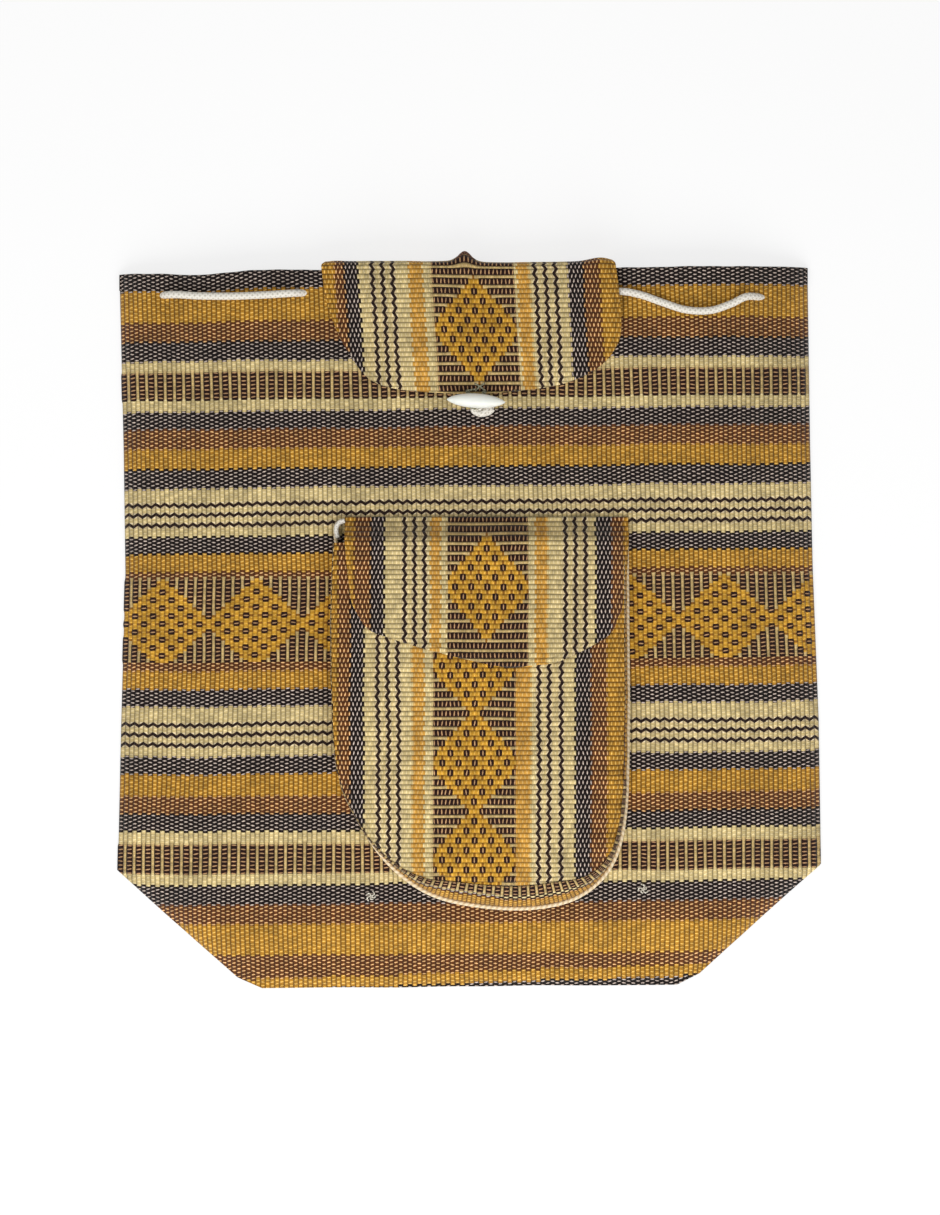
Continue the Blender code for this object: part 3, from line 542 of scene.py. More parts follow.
# %% The sack's draft
DIAMOND_BAND = ("rung", 47.7)
SACK_BANDS = [
    ("black", 9.8), ("gold", 18.8), ("brown", 11.5), ("black", 10.9), ("beige", 6.3),
    ("rung", 15.5), ("beige", 6.9), ("black", 10.9), ("brown", 10.9), ("gold", 11.5),
    ("black", 11.5), ("beige", 27.0), ("black", 10.9), ("gold", 9.8), ("brown", 4.0),
    DIAMOND_BAND, ("brown", 5.2), ("gold", 10.4), ("black", 10.4), ("beige", 28.2),
    ("black", 10.4), ("gold", 12.7), ("brown", 10.4), ("black", 10.4), ("beige", 6.9),
    ("rung", 17.3), ("beige", 5.8), ("black", 11.5), ("brown", 11.5), ("gold", 18.4),
    ("brown", 10.5), ("gold", 6.9), ("black", 12.0), ("beige", 40.0),
]
SACK_ROWS = bands(SACK_BANDS, PICK)
SACK_RIBS = 148
FOLD_HALF = 351
SKEW_RIBS = 15
MID_RIB = 68
MID_HALF = 176
DIAMOND_PERIOD = 20
WAVE_ROWS = (68.5, 63.4, 58.2, -58.0, -63.7, -68.9)
SACK_WAVES = [round((MOUTH_Y - row) / PICK) for row in WAVE_ROWS]
DIAMOND_TOP = sum(height for _, height in SACK_BANDS[:SACK_BANDS.index(DIAMOND_BAND)])
SACK_DIAMONDS = [(round(DIAMOND_TOP / PICK), round((DIAMOND_TOP + DIAMOND_BAND[1]) / PICK),
                  MID_RIB, MID_HALF, DIAMOND_PERIOD)]


def sack_draft(rib, half):
    """The kind of yarn in each cell of the sack. At the fold the bands run a little askew."""
    return fill_pattern(rib, half, plain_draft(rib, half), SACK_DIAMONDS, SACK_WAVES)


def plain_draft(rib, half):
    """The bands alone."""
    skew = np.where(half >= FOLD_HALF, (rib - SACK_RIBS // 2) // SKEW_RIBS, 0)
    return SACK_ROWS[np.clip(half + skew + rib % 2, 0, len(SACK_ROWS) - 1)]


print(f"{len(SACK_ROWS)} half threads from the mouth to the fold")

# %% [markdown]
# ## The sack
# Front and back are one cloth folded at the bottom. The ribs run from mouth to bottom and their
# number is the same everywhere, so they close up a little where the bag narrows. At the boxed
# corners they are cut off by the slanting seam. At the mouth the cloth rolls over a hem 1.8 mm
# thick and goes down inside. The cloth is laid by hand: it is out of true by half a millimetre
# here and there, the mouth waves a little, and the cloth dips where the cord goes through.

# %% The sack
HEM_RADIUS = 0.9
HEM_TURN = math.pi * HEM_RADIUS
HOLE_DIP = 1.3


def sack_sides(row):
    """The cloth's left and right edge at a row. Past the boxed corners it keeps their width."""
    level = np.maximum(np.minimum(row, MOUTH_Y), CORNER_Y)
    return table(LEFT_EDGE, level), table(RIGHT_EDGE, level)


def sack_flat(u, v):
    row = MOUTH_Y - v * PICK
    left, right = sack_sides(row)
    return (left + right) * u / SACK_RIBS - left, row


def sack_cell(a, b):
    left, right = sack_sides(b)
    return (a + left) / (left + right) * SACK_RIBS, (MOUTH_Y - b) / PICK + EVEN_SHIFT


def sack_trim(a, b):
    limit = edge_at(a, np.minimum(b, MOUTH_Y))
    outside = np.abs(a) > limit + 0.01
    return np.clip(a, -limit, limit), b, np.full(a.shape, FAR), outside


def hem_roll(b):
    """Where a row past the mouth lies once the hem is rolled: its y and its depth inward."""
    over = np.maximum(b - MOUTH_Y, 0.0)
    angle = np.minimum(over, HEM_TURN) / HEM_RADIUS
    inside = np.maximum(over - HEM_TURN, 0.0)
    y = np.minimum(b, MOUTH_Y) + HEM_RADIUS * np.sin(angle) - inside
    return y, HEM_RADIUS * (1 - np.cos(angle))


def mouth_wave(x):
    """The mouth dips beside the left end of the cord and rises next to the flap."""
    return 0.9 * hump(x, -112.0, 18.0) - 1.3 * hump(x, -158.0, 17.0)


def sack_place(a, b, front):
    """Where a flat place of the cloth lies, on the front or on the back of the sack."""
    y, depth = hem_roll(b)
    y = y + SLANT * a + mouth_wave(a) * smooth(150.0, 196.0, b)
    rim = smooth(1.0, 0.93, np.abs(a) / edge_at(a, np.minimum(b, MOUTH_Y)))
    calm = rim * smooth(BOTTOM_Y, BOTTOM_Y + 12, b)
    x = a + 0.45 * drift(a, b, 38.0, 1.0) * calm
    y = y + 0.40 * drift(a, b, 45.0, 5.0) + 0.25 * drift(a, b, 12.0, 9.0) * calm
    if front:
        z = sack_z(a, np.minimum(y, MOUTH_Y)) - depth
        z = z + (0.45 * drift(a, b, 60.0, 2.0) + 0.15 * drift(a, b, 14.0, 3.0)) * calm
        for hole in CORD_HOLES:
            z = z - HOLE_DIP * np.exp(-((a - hole[0]) ** 2 + (b - hole[1]) ** 2) / 14.0)
    else:
        z = sack_back_z(a, np.minimum(y, MOUTH_Y)) + depth
    return x, y, z


def sack_panel(name, ribs, halves, place, front, draft, flip):
    """One side of the sack, of the outer cloth or of the lining side."""
    return weave(name, ribs, halves, sack_flat, sack_cell, sack_trim,
                 lambda a, b, gap: place(a, b, front), draft, flip)


side_ribs = np.array([0.5, 0.25, 0])
rib_lines = np.concatenate([side_ribs[::-1], np.arange(1, SACK_RIBS), SACK_RIBS - side_ribs])
half_lines = np.arange(-10, round((MOUTH_Y - BOTTOM_Y) / PICK))
half_lines = np.append(half_lines, (MOUTH_Y - BOTTOM_Y) / PICK)
sack_front = sack_panel("sack_front", rib_lines, half_lines, sack_place, True, sack_draft, False)
sack_back = sack_panel("sack_back", rib_lines, half_lines, sack_place, False, sack_draft, True)

# %% [markdown]
# ## The lining side
# Through the open mouth the inside of the same cloth shows. It is woven coarser here, four ribs to
# a face, because it is only seen in shadow.

# %% The inside of the sack
LINING_TOP = 192.0
LINING_SHARE = 0.997


def lining_place(a, b, front):
    """Where the cloth's inner face lies, with a little air in the middle of the sack."""
    y = b + SLANT * a
    top, low = sack_z(a, y), sack_back_z(a, y)
    middle = (top + low) / 2
    z = np.maximum(top - CLOTH, middle + 0.05) if front else np.minimum(low + CLOTH, middle - 0.05)
    return a * LINING_SHARE, y, z


coarse_ribs = np.linspace(0, SACK_RIBS, 38)
coarse_halves = np.linspace((MOUTH_Y - LINING_TOP) / PICK, (MOUTH_Y - BOTTOM_Y - 4) / PICK, 70)
lining_front = sack_panel("lining_front", coarse_ribs, coarse_halves, lining_place, True,
                          plain_draft, True)
lining_back = sack_panel("lining_back", coarse_ribs, coarse_halves, lining_place, False,
                         plain_draft, False)

# %% [markdown]
# ## Cloth turned a quarter
# The flap and the pocket are cut from the same kind of cloth, turned, so their stripes run down and
# the ribs run across. Each has its own stripes, measured from its left edge, and its own diamonds.

# %% Stripes of the turned cloth
TURNED_RIB = 2.79
TURNED_PICK = 1.15
PANEL_THICKNESS = 1.6
PAST_EDGE = 400.0


def solid_cloth(item, thickness):
    """Gives a panel the thickness of the cloth, downwards."""
    step = item.modifiers.new("cloth thickness", "SOLIDIFY")
    step.thickness = thickness * MM
    step.offset = -1.0
    return item


def turned_panel(name, ribs, columns, top, lean, stripes, waves, diamond, outline, shape):
    """A panel of turned cloth. Stripes are (yarn, x where it starts) at its top.

    ribs are the first and last rib below the top, columns the number of half threads, waves the
    places of the wavy lines, and diamond is (left, right, middle x, middle y, period in ribs).
    """
    left = stripes[0][1]
    ends = [x for _, x in stripes[1:]] + [left + PAST_EDGE]
    widths = [(kind, end - start) for (kind, start), end in zip(stripes, ends)]
    rows = bands(widths, TURNED_PICK)
    lines = [round((x - left) / TURNED_PICK) for x in waves]
    x0, x1, centre_x, centre_y, period = diamond
    fields = [(round((x0 - left) / TURNED_PICK), round((x1 - left) / TURNED_PICK),
               2 * round((top - centre_y) / TURNED_RIB / 2),
               2 * round((centre_x - left) / TURNED_PICK / 2), period)]

    def flat_of(u, v):
        b = top - u * TURNED_RIB
        return left + v * TURNED_PICK + lean * (top - b), b

    def cell_of(a, b):
        return ((top - b) / TURNED_RIB + 3 * EVEN_SHIFT,
                (a - left - lean * (top - b)) / TURNED_PICK + EVEN_SHIFT)

    def draft(rib, half):
        level = np.clip(half + rib % 2, 0, len(rows) - 1)
        return fill_pattern(rib, half, rows[level], fields, lines)

    half_ribs = np.arange(2 * ribs[0], 2 * ribs[1]) / 2
    panel = weave(name, half_ribs, np.arange(columns), flat_of, cell_of, cut_to(outline), shape,
                  draft, flip=True)
    return solid_cloth(panel, PANEL_THICKNESS)


# %% [markdown]
# ## The top flap
# It is sewn to the back, folds over the mouth and comes down to the toggle. Laid flat it is one
# piece of cloth, so it is cut flat: the root, the turn over the mouth, and the rounded front. The
# turn follows the same rounded path as the CAD part. In the middle the cloth is pinched into a
# ridge over the hanging tape, and its corners stand up a little.

# %% The top flap
FLAP_ROOT_Y = 168.0
FOLD_Y = 201.6
FOLD_OUT = 6.3
ROOT_Z = 2.3
FLAP_OUTLINE = [(-85.0, 204.0), (-82.5, 185.0), (-75.5, 165.0), (-68.5, 152.5), (-60.0, 141.0),
                (-50.0, 135.2), (-34.0, 132.2), (4.0, 130.0), (46.0, 134.4), (64.0, 140.0),
                (76.0, 147.0), (84.0, 157.0), (87.0, 167.0), (86.0, 186.0), (83.6, 204.0)]


def flap_top(x, y):
    """Height of the flap's upper face on the front."""
    return sack_z(x, y) + cord_lift(x, y) + CLOTH + 0.7


turn = np.radians(np.linspace(-90, 90, 61))
turn_out = np.abs(np.cos(turn)) ** (2 / 3)
turn_up = np.sign(np.sin(turn)) * np.abs(np.sin(turn)) ** (2 / 3)
MIDDLE_TOP = float(flap_top(0.0, FOLD_Y - 3))
turn_path = np.stack([FOLD_OUT * turn_out, (MIDDLE_TOP - ROOT_Z) / 2 * turn_up], -1)
turn_run = lengths(turn_path)
TURN_LENGTH = float(turn_run[-1])
FLAP_TOP_B = FOLD_Y + TURN_LENGTH + FOLD_Y - FLAP_ROOT_Y
flap_cut = [tuple(point) for point in spline(FLAP_OUTLINE, 4)]
flap_cut += [(84.5, FLAP_TOP_B), (-85.0, FLAP_TOP_B)]


def flap_shape(a, b, gap):
    """b counts up the front to the fold, then round the turn, then down the back."""
    over = b - FOLD_Y
    front_y = np.minimum(b, FOLD_Y)
    roll = 1.3 * (1 - smooth(0.0, 2.6, gap)) * smooth(2.0, -4.0, over)
    top = flap_top(a, np.minimum(front_y, FOLD_Y - 3))
    ridge = 2.6 * hump(a, -2.0, 3.6) * smooth(190, 204, front_y)
    z_front = top - roll + ridge + 0.3 * drift(a, b, 30.0, 11.0) * smooth(0, 8, gap)
    lift = 0.9 * hump(a, 76.0, 10.0) * smooth(150, 190, front_y)
    z_front = z_front + lift
    turned = TURN_LENGTH - np.clip(over, 0, TURN_LENGTH)
    out = np.interp(turned, turn_run, turn_out)
    up = np.interp(turned, turn_run, turn_up)
    middle = (ROOT_Z + top) / 2
    bulge = 0.4 * drift(a, b, 22.0, 13.0) + 2.6 * hump(a, 75.0, 9.0)
    bulge = bulge - 0.9 * hump(a, 42.0, 15.0) + 0.7 * hump(a, -77.0, 8.0)
    z_turn = middle + (top - middle) * up + (ridge + lift) * smooth(-0.2, 1.0, up)
    y_turn = FOLD_Y + (FOLD_OUT - 1.2 + bulge + 5.0 * hump(a, -2.9, 5.5)) * out
    back_y = FOLD_Y - np.maximum(over - TURN_LENGTH, 0.0)
    y = np.where(over <= 0, front_y, np.where(over < TURN_LENGTH, y_turn, back_y))
    z = np.where(over <= 0, z_front, np.where(over < TURN_LENGTH, z_turn, ROOT_Z))
    x = a + 0.35 * drift(a, b, 26.0, 12.0) * smooth(0, 6, gap)
    x = x - 2.2 * np.sign(a) * smooth(76.0, 86.0, np.abs(a)) * smooth(0.5, 1.0, out) * (over > 0)
    return x, y + 0.3 * drift(a, b, 30.0, 14.0) * smooth(0, 6, gap), z


FLAP_STRIPES = [("gold", -100.0), ("brown", -77.3), ("black", -71.0), ("beige", -63.0),
                ("orange", -34.8), ("beige", -26.7), ("rung", -22.1), ("beige", 25.6),
                ("orange", 27.3), ("beige", 34.2), ("black", 56.1), ("brown", 65.3), ("gold", 74.5)]
FLAP_WAVES = (-56.1, -50.3, -45.1, 37.2, 42.6, 48.4)
FLAP_LEAN = 0.06
FLAP_RIBS_ABOVE = math.ceil((FLAP_TOP_B - FOLD_Y) / TURNED_RIB)
top_flap = turned_panel("top_flap", (-FLAP_RIBS_ABOVE, 27), 176, FOLD_Y, FLAP_LEAN, FLAP_STRIPES,
                        FLAP_WAVES, (-22.1, 25.6, 1.6, 169.0, 0), flap_cut, flap_shape)

# %% [markdown]
# ## The pocket
# A round-bottomed pocket stands about 13 mm off the sack: a front panel, a strip of cloth round it,
# and a pale piping where that strip meets the sack. The front panel bellies out a little and rolls
# down at its seam. Low on the right the seam has drawn the cloth into small puckers.

# %% The pocket's outlines
POCKET_BASE = [(-78.5, 45), (-80, 12), (-79.6, -45), (-76.5, -85), (-66, -113), (-48.6, -138.6),
               (-24, -157), (6, -164.5), (38, -165.5), (64, -158.5), (82, -141), (90, -112),
               (91.7, -60), (91.5, -10), (91, 45)]
POCKET_TOP_Y = 60.0
POCKET_RISE = 13.0
PANEL_ROLL = 2.6


def pocket_paths(steps):
    """The pocket's base outline, its top outline and the way inward at each point."""
    base = spline(POCKET_BASE, steps)
    run = headings(base)
    inward = np.stack([-run[:, 1], run[:, 0]], -1)
    left, right, low = np.maximum(inward[:, 0], 0), np.maximum(-inward[:, 0], 0), inward[:, 1]
    inset = 0.8 * left ** 2 + 2.8 * right ** 2 + 14.0 * np.maximum(low, 0) ** 4 + 6.0 * right * low
    return base, base + inward * inset[:, None], inward


pocket_base, pocket_top, pocket_inward = pocket_paths(10)
pocket_cut = pocket_paths(3)[1]


def puckers(a, b, gap):
    """Small folds that run in from the pocket's right seam."""
    reach = smooth(34.0, 4.0, gap) * smooth(40, 62, a) * smooth(-50, -85, b) * smooth(-150, -125, b)
    return -1.9 * reach * (0.5 + 0.5 * np.sin((b + 0.35 * a) / 3.1)) ** 2


def pocket_panel_shape(a, b, gap):
    """The panel stands off the sack, bellies a little and rolls down at its seam."""
    roll = PANEL_ROLL * (1 - smooth(0.0, 5.0, gap))
    belly = 0.6 * drift(a, b, 55.0, 21.0) * smooth(0, 20, gap)
    z = sack_z(a, b) + POCKET_RISE - 0.3 - roll + belly + puckers(a, b, gap)
    x = a + 0.4 * drift(a, b, 30.0, 22.0) * smooth(0, 6, gap)
    return x, b + 0.35 * drift(a, b, 34.0, 23.0) * smooth(0, 6, gap), z


POCKET_STRIPES = [("gold", -92.0), ("brown", -74.5), ("black", -68.1), ("beige", -59.5),
                  ("orange", -32.5), ("beige", -25.6), ("rung", -21.0), ("orange", 26.7),
                  ("beige", 35.9), ("black", 61.2), ("brown", 70.4), ("gold", 79.1)]
POCKET_WAVES = (-53.2, -47.4, -41.7, 38.8, 45.1, 51.5)
pocket_panel = turned_panel("pocket_panel", (0, 78), 162, POCKET_TOP_Y, 0.0, POCKET_STRIPES,
                            POCKET_WAVES, (-21.0, 26.7, 2.6, -80.5, DIAMOND_PERIOD), pocket_cut,
                            pocket_panel_shape)

# %% [markdown]
# ## The pocket's side strip
# The strip is cut along the bands of the cloth, so its ribs stand across it and its stripes follow
# the curve of the pocket. It bulges outwards between its two seams. It was cut a little askew, so
# the ladder runs off it on the left, and past a join on the right only gold is left.

# %% The side strip
strip_run = lengths(pocket_base)
STRIP_LENGTH = float(strip_run[-1])
STRIP_RIBS = round(STRIP_LENGTH / RIB)
STRIP_HALVES = 16
STRIP_FOOT = 1.6
STRIP_THICKNESS = 1.2
STRIP_BANDS = [("rung", 6.9), ("beige", 1.2), ("black", 1.2), ("brown", 1.2), ("gold", 14.0)]
STRIP_ROWS = bands(STRIP_BANDS, PICK)
print(f"side strip {STRIP_LENGTH:.0f} mm long")


def strip_draft(rib, half):
    """The bands run askew along the strip, and past the join they are shifted to the gold one."""
    level = half - np.round((rib - 0.55 * STRIP_RIBS) * 0.05).astype(int) + rib % 2
    level = level + np.where(rib > 0.74 * STRIP_RIBS, 9, 0)
    return fill_pattern(rib, half, STRIP_ROWS[np.clip(level, 0, len(STRIP_ROWS) - 1)], [], [])


def strip_shape(a, b, gap):
    """a is the place along the curve in ribs, b the share from the panel down to the sack."""
    run = a / STRIP_RIBS * STRIP_LENGTH
    foot = pocket_base + STRIP_FOOT * pocket_inward
    low, high, side = ([np.interp(run, strip_run, line[:, k]) for k in (0, 1)]
                       for line in (foot, pocket_top, pocket_inward))
    t = 1 - b
    out = 0.8 * np.sin(math.pi * b) + 0.35 * drift(run, b * 10, 9.0, 31.0) * np.sin(math.pi * b)
    x = low[0] + (high[0] - low[0]) * t ** 1.2 - side[0] * out
    y = low[1] + (high[1] - low[1]) * t ** 1.2 - side[1] * out
    z = sack_z(x, y) + CLOTH_GAP + (POCKET_RISE - PANEL_ROLL) * np.sin(t * math.pi / 2) ** 0.9
    return x, y, z


strip_ribs = np.arange(0, 2 * STRIP_RIBS + 1) / 2
pocket_strip = weave("pocket_strip", strip_ribs, np.arange(STRIP_HALVES + 1),
                     lambda u, v: (u, v / STRIP_HALVES),
                     lambda a, b: (a + EVEN_SHIFT, b * STRIP_HALVES + EVEN_SHIFT),
                     lambda a, b: (a, b, np.full(a.shape, FAR), np.zeros(a.shape, bool)),
                     strip_shape, strip_draft)
solid_cloth(pocket_strip, STRIP_THICKNESS)

# %% [markdown]
# ## The pocket's flap
# The small flap is sewn to the sack above the pocket, climbs over its upper edge and lies on the
# panel. On the right it droops past the panel's edge. A hem is sewn 3 mm inside its rounded edge.

# %% The pocket's flap
POCKET_FLAP_OUTLINE = [(-71.6, 60.0), (-71.0, 40.0), (-68.0, 14.0), (-65.5, 6.5), (-58.0, -4.5),
                       (-46.0, -9.5), (-22.7, -16.7), (17.5, -26.0), (36.0, -25.2), (52.0, -22.8),
                       (77.0, -10.0), (84.0, -1.5), (88.5, 12.0), (91.0, 40.0), (91.1, 60.0)]
pocket_flap_cut = spline(POCKET_FLAP_OUTLINE, 4)


def pocket_flap_shape(a, b, gap):
    """The flap climbs from the sack over the pocket's upper edge and droops on the right."""
    low = CLOTH_GAP + CLOTH
    high = POCKET_RISE + CLOTH_GAP + CLOTH
    rise = smooth(59.0, 45.0, b)
    droop = 6.5 * smooth(79, 95, a) * rise
    roll = 1.2 * (1 - smooth(0.0, 2.6, gap)) * smooth(56, 40, b)
    wave = 0.5 * drift(a, b, 32.0, 41.0) * smooth(0, 12, gap)
    x = a + 0.4 * drift(a, b, 28.0, 42.0) * smooth(0, 6, gap)
    y = b + 0.35 * drift(a, b, 30.0, 43.0) * smooth(0, 6, gap)
    return x, y, sack_z(a, b) + low + (high - low) * rise - droop - roll + wave


POCKET_FLAP_STRIPES = [("gold", -78.0), ("brown", -65.3), ("black", -56.6), ("beige", -48.0),
                       ("orange", -21.6), ("beige", -16.4), ("rung", -12.9), ("beige", 33.6),
                       ("orange", 37.7), ("beige", 44.6), ("black", 72.7), ("brown", 81.4),
                       ("gold", 88.5)]
POCKET_FLAP_WAVES = (-37.7, -32.5, -26.7, 53.8, 59.5, 65.3)
pocket_flap = turned_panel("pocket_flap_cloth", (0, 32), 150, POCKET_TOP_Y, 0.0,
                           POCKET_FLAP_STRIPES, POCKET_FLAP_WAVES, (-12.9, 33.6, 9.5, 18.4, 0),
                           pocket_flap_cut, pocket_flap_shape)

# %% [markdown]
# ## Cords and threads
# The drawstring is a round braid of polyester, the piping a twisted cotton cord, and the loop and
# the tufts are sewing thread. All are tubes swept along a smooth line, and their material draws the
# plait from the place round the tube and along it, with painted shade in the grooves between the
# strands. Braided polyester has a soft gloss, and cotton and thread have less.


# %% Tubes
def sweep(name, rings, around, length, material, capped=True, flip=False):
    """Joins rings of points. UV runs over around's two values at each side, and along length."""
    sides = len(around)
    points = np.array(rings).reshape(-1, 3) * MM
    faces, uvs = [], []
    for i in range(len(rings) - 1):
        for j, (u0, u1) in enumerate(around):
            k = (j + 1) % sides
            corners = [(i * sides + j, u0, i), (i * sides + k, u1, i),
                       ((i + 1) * sides + k, u1, i + 1), ((i + 1) * sides + j, u0, i + 1)]
            if flip:
                corners = corners[:1] + corners[:0:-1]
            faces.append([corner for corner, _, _ in corners])
            uvs += [(u, length[row]) for _, u, row in corners]
    if capped:
        caps = [list(range(sides))[::-1], list(range(len(points) - sides, len(points)))]
        faces += [cap[::-1] for cap in caps] if flip else caps
        uvs += [(0.0, 0.0)] * (2 * sides)
    mesh = bpy.data.meshes.new(name)
    mesh.from_pydata(points.tolist(), [], faces)
    mesh.uv_layers.new(name="round").data.foreach_set("uv", np.array(uvs, np.float32).ravel())
    mesh.materials.append(material)
    return show(name, mesh)


def tube(name, line, radius, sides, material, capped=True):
    """A round tube along a line in mm. radius is one number or one for each point."""
    line = np.array(line, float)
    radii = np.broadcast_to(np.array(radius, float), (len(line),))
    run = headings(line)
    normal = np.cross(run[0], (0, 0, 1))
    if np.linalg.norm(normal) < 1e-3:
        normal = np.array((1.0, 0.0, 0.0))
    angles = np.linspace(0, 2 * math.pi, sides, endpoint=False)
    rings = []
    for direction, centre, size in zip(run, line, radii):
        normal = normal - direction * (normal @ direction)
        normal /= np.linalg.norm(normal)
        other = np.cross(direction, normal)
        spokes = np.outer(np.cos(angles), normal) + np.outer(np.sin(angles), other)
        rings.append(centre + size * spokes)
    around = [(j / sides, (j + 1) / sides) for j in range(sides)]
    item = sweep(name, rings, around, lengths(line), material, capped)
    item.data.polygons.foreach_set("use_smooth", np.ones(len(item.data.polygons), bool))
    return item


def cord_material(name, shade, dark, strands, pitch, braided, gloss):
    """A plaited or twisted cord: strands round it, one turn of the lay in pitch millimetres."""
    material, nodes, shader = new_material(name)
    spot = add(nodes, "ShaderNodeUVMap", uv_map="round")
    parts = add(nodes, "ShaderNodeSeparateXYZ", {0: spot})
    turns = add(nodes, "ShaderNodeMath", {0: parts, 1: float(strands)}, operation="MULTIPLY")
    lay = add(nodes, "ShaderNodeMath", {0: parts.outputs[1], 1: pitch}, operation="DIVIDE")
    hills = []
    for way in ("ADD", "SUBTRACT") if braided else ("ADD",):
        mixed = add(nodes, "ShaderNodeMath", {0: turns, 1: lay}, operation=way)
        hills.append(add(nodes, "ShaderNodeMath", {0: mixed, 1: 1.0}, operation="PINGPONG"))
    height = hills[0]
    if braided:
        height = add(nodes, "ShaderNodeMath", {0: hills[0], 1: hills[1]}, operation="MAXIMUM")
    # Painted shade: the low places between the strands take the dark colour, the strands' tops the
    # shade colour.
    tone = add(nodes, "ShaderNodeMapRange", {0: height, 1: 0.15, 2: 0.75, 3: 0.0, 4: 1.0},
               interpolation_type="SMOOTHSTEP")
    colour = add(nodes, "ShaderNodeMix", {0: tone, 6: linear(dark), 7: linear(shade)},
                 data_type="RGBA")
    bump = add(nodes, "ShaderNodeBump", {"Strength": 0.7, "Distance": 0.0004, "Height": height})
    wire(shader, {"Base Color": colour.outputs[2], "Normal": bump, "Roughness": gloss,
                  "Sheen Weight": 0.1})
    return material


braided_polyester = cord_material("braided polyester cord", "#EAE5DA", "#C2BBAC", 8, 1.5, True, 0.6)
twisted_cotton = cord_material("twisted cotton piping", "#E9D8B8", "#D0B78E", 2, 1.6, False, 0.85)
sewing_thread = cord_material("twisted sewing thread", "#E6E0D2", "#A79F8C", 2, 0.9, False, 0.8)
grey_thread = cord_material("grey sewing thread", "#A9A78C", "#65634C", 2, 0.9, False, 0.8)

drawstring_cord = tube("drawstring_cord", cord_line, CORD / 2, 14, braided_polyester)

# %% Piping
PIPING_RADIUS = 1.15
PIPING_START = [(-76.0, 56.5, 1.6), (-77.0, 51.0, 1.4)]
PIPING_END = [(-71.6, 57.6, -0.4), (-74.6, 56.6, 0.0), (-76.4, 53.6, 0.0), (-76.2, 50.2, 0.0),
              (-75.6, 48.0, -0.6)]
piping_line = [(x, y, float(sack_z(x, y)) + up) for x, y, up in PIPING_START]
for foot, inward in zip(pocket_base, pocket_inward):
    x, y = foot + inward * (0.7 + 1.4 * max(inward[0], 0.0) ** 4)
    piping_line.append((x, y, float(sack_z(x, y)) + 1.35))
pocket_piping_cord = tube("pocket_piping_cord", spline(piping_line, 2), PIPING_RADIUS, 10,
                          twisted_cotton)
end_z = float(sack_z(-76.0, 54.0)) + 4.4
end_line = spline([(x, y, end_z + up) for x, y, up in PIPING_END], 5)
piping_end = tube("piping_end", end_line, 1.35, 10, braided_polyester)

# %% [markdown]
# ## Toggle, knot and loop
# The toggle is a smooth moulded plastic peg, thick in the middle and pointed at both ends. It sits
# on the knot in which both ends of the drawstring meet, and a loop of grey thread from the flap
# goes round its neck. It is the only piece that turns.

# %% The toggle
PEG_LENGTH = 33.4
PEG_RADIUS = 4.05
TILT = math.radians(-3.0)
toggle_low, toggle_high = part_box("toggle")
toggle_middle = (toggle_low + toggle_high) / 2 / MM
print("toggle centre", [round(c, 1) for c in toggle_middle])
moulded_plastic, n, peg_shader = new_material("moulded polyethylene")
place = add(n, "ShaderNodeTexCoord").outputs[3]
cloud = add(n, "ShaderNodeTexNoise", {0: place, 2: 180.0, 3: 2.0})
tone = add(n, "ShaderNodeMix", {0: cloud, 6: linear("#F1F2EC"), 7: linear("#E4E6DC")},
           data_type="RGBA")
scuff = add(n, "ShaderNodeTexNoise", {0: place, 2: 900.0, 3: 3.0})
dent = add(n, "ShaderNodeBump", {"Strength": 0.15, "Distance": 0.0003, "Height": scuff})
worn = add(n, "ShaderNodeMapRange", {0: scuff, 1: 0.3, 2: 0.7, 3: 0.28, 4: 0.45})
wire(peg_shader, {"Base Color": tone.outputs[2], "Normal": dent, "Roughness": worn,
                  "Subsurface Weight": 0.25, "Subsurface Radius": (0.004, 0.0035, 0.003)})
shares = np.sin(np.linspace(-math.pi / 2, math.pi / 2, 41))
peg_way = Vector((math.cos(TILT), math.sin(TILT), 0.0))
peg_line = [toggle_middle + peg_way * (s * (PEG_LENGTH / 2 - 0.05)) for s in shares]
peg_radius = PEG_RADIUS * np.maximum(1 - np.abs(shares) ** 2.1, 0.0) ** 0.72 + 0.12
toggle_peg = tube("toggle_peg", peg_line, peg_radius, 32, moulded_plastic)

# %% The knot and its neck
knot_z = float(sack_z(*KNOT)) + 0.3
angles = np.linspace(0, 2 * math.pi, 97)
knot_line = [(KNOT[0] + 3.6 + (3.6 + 1.5 * math.cos(3 * t)) * math.cos(2 * t),
              KNOT[1] - 2.3 + (3.4 + 1.3 * math.cos(3 * t)) * math.sin(2 * t),
              knot_z + 2.9 + 1.1 * math.sin(3 * t)) for t in angles]
cord_knot = tube("cord_knot", knot_line, 1.95, 12, braided_polyester, capped=False)
neck_line = [(KNOT[0], KNOT[1], knot_z + 2.0), (KNOT[0], KNOT[1], toggle_middle[2] - 3.0)]
knot_neck = tube("knot_neck", spline(neck_line, 6), 1.9, 12, braided_polyester)
KNOT_ENDS = [(2.5, 123.5, 3.4), (2.4, 120.8, 3.4), (5.2, 119.0, 2.8), (8.2, 118.9, 3.2),
             (11.2, 119.9, 2.8), (13.4, 121.8, 3.2)]
ends_line = spline([(x, y, knot_z + up) for x, y, up in KNOT_ENDS], 5)
knot_ends = tube("knot_ends", ends_line, 1.75, 12, braided_polyester)

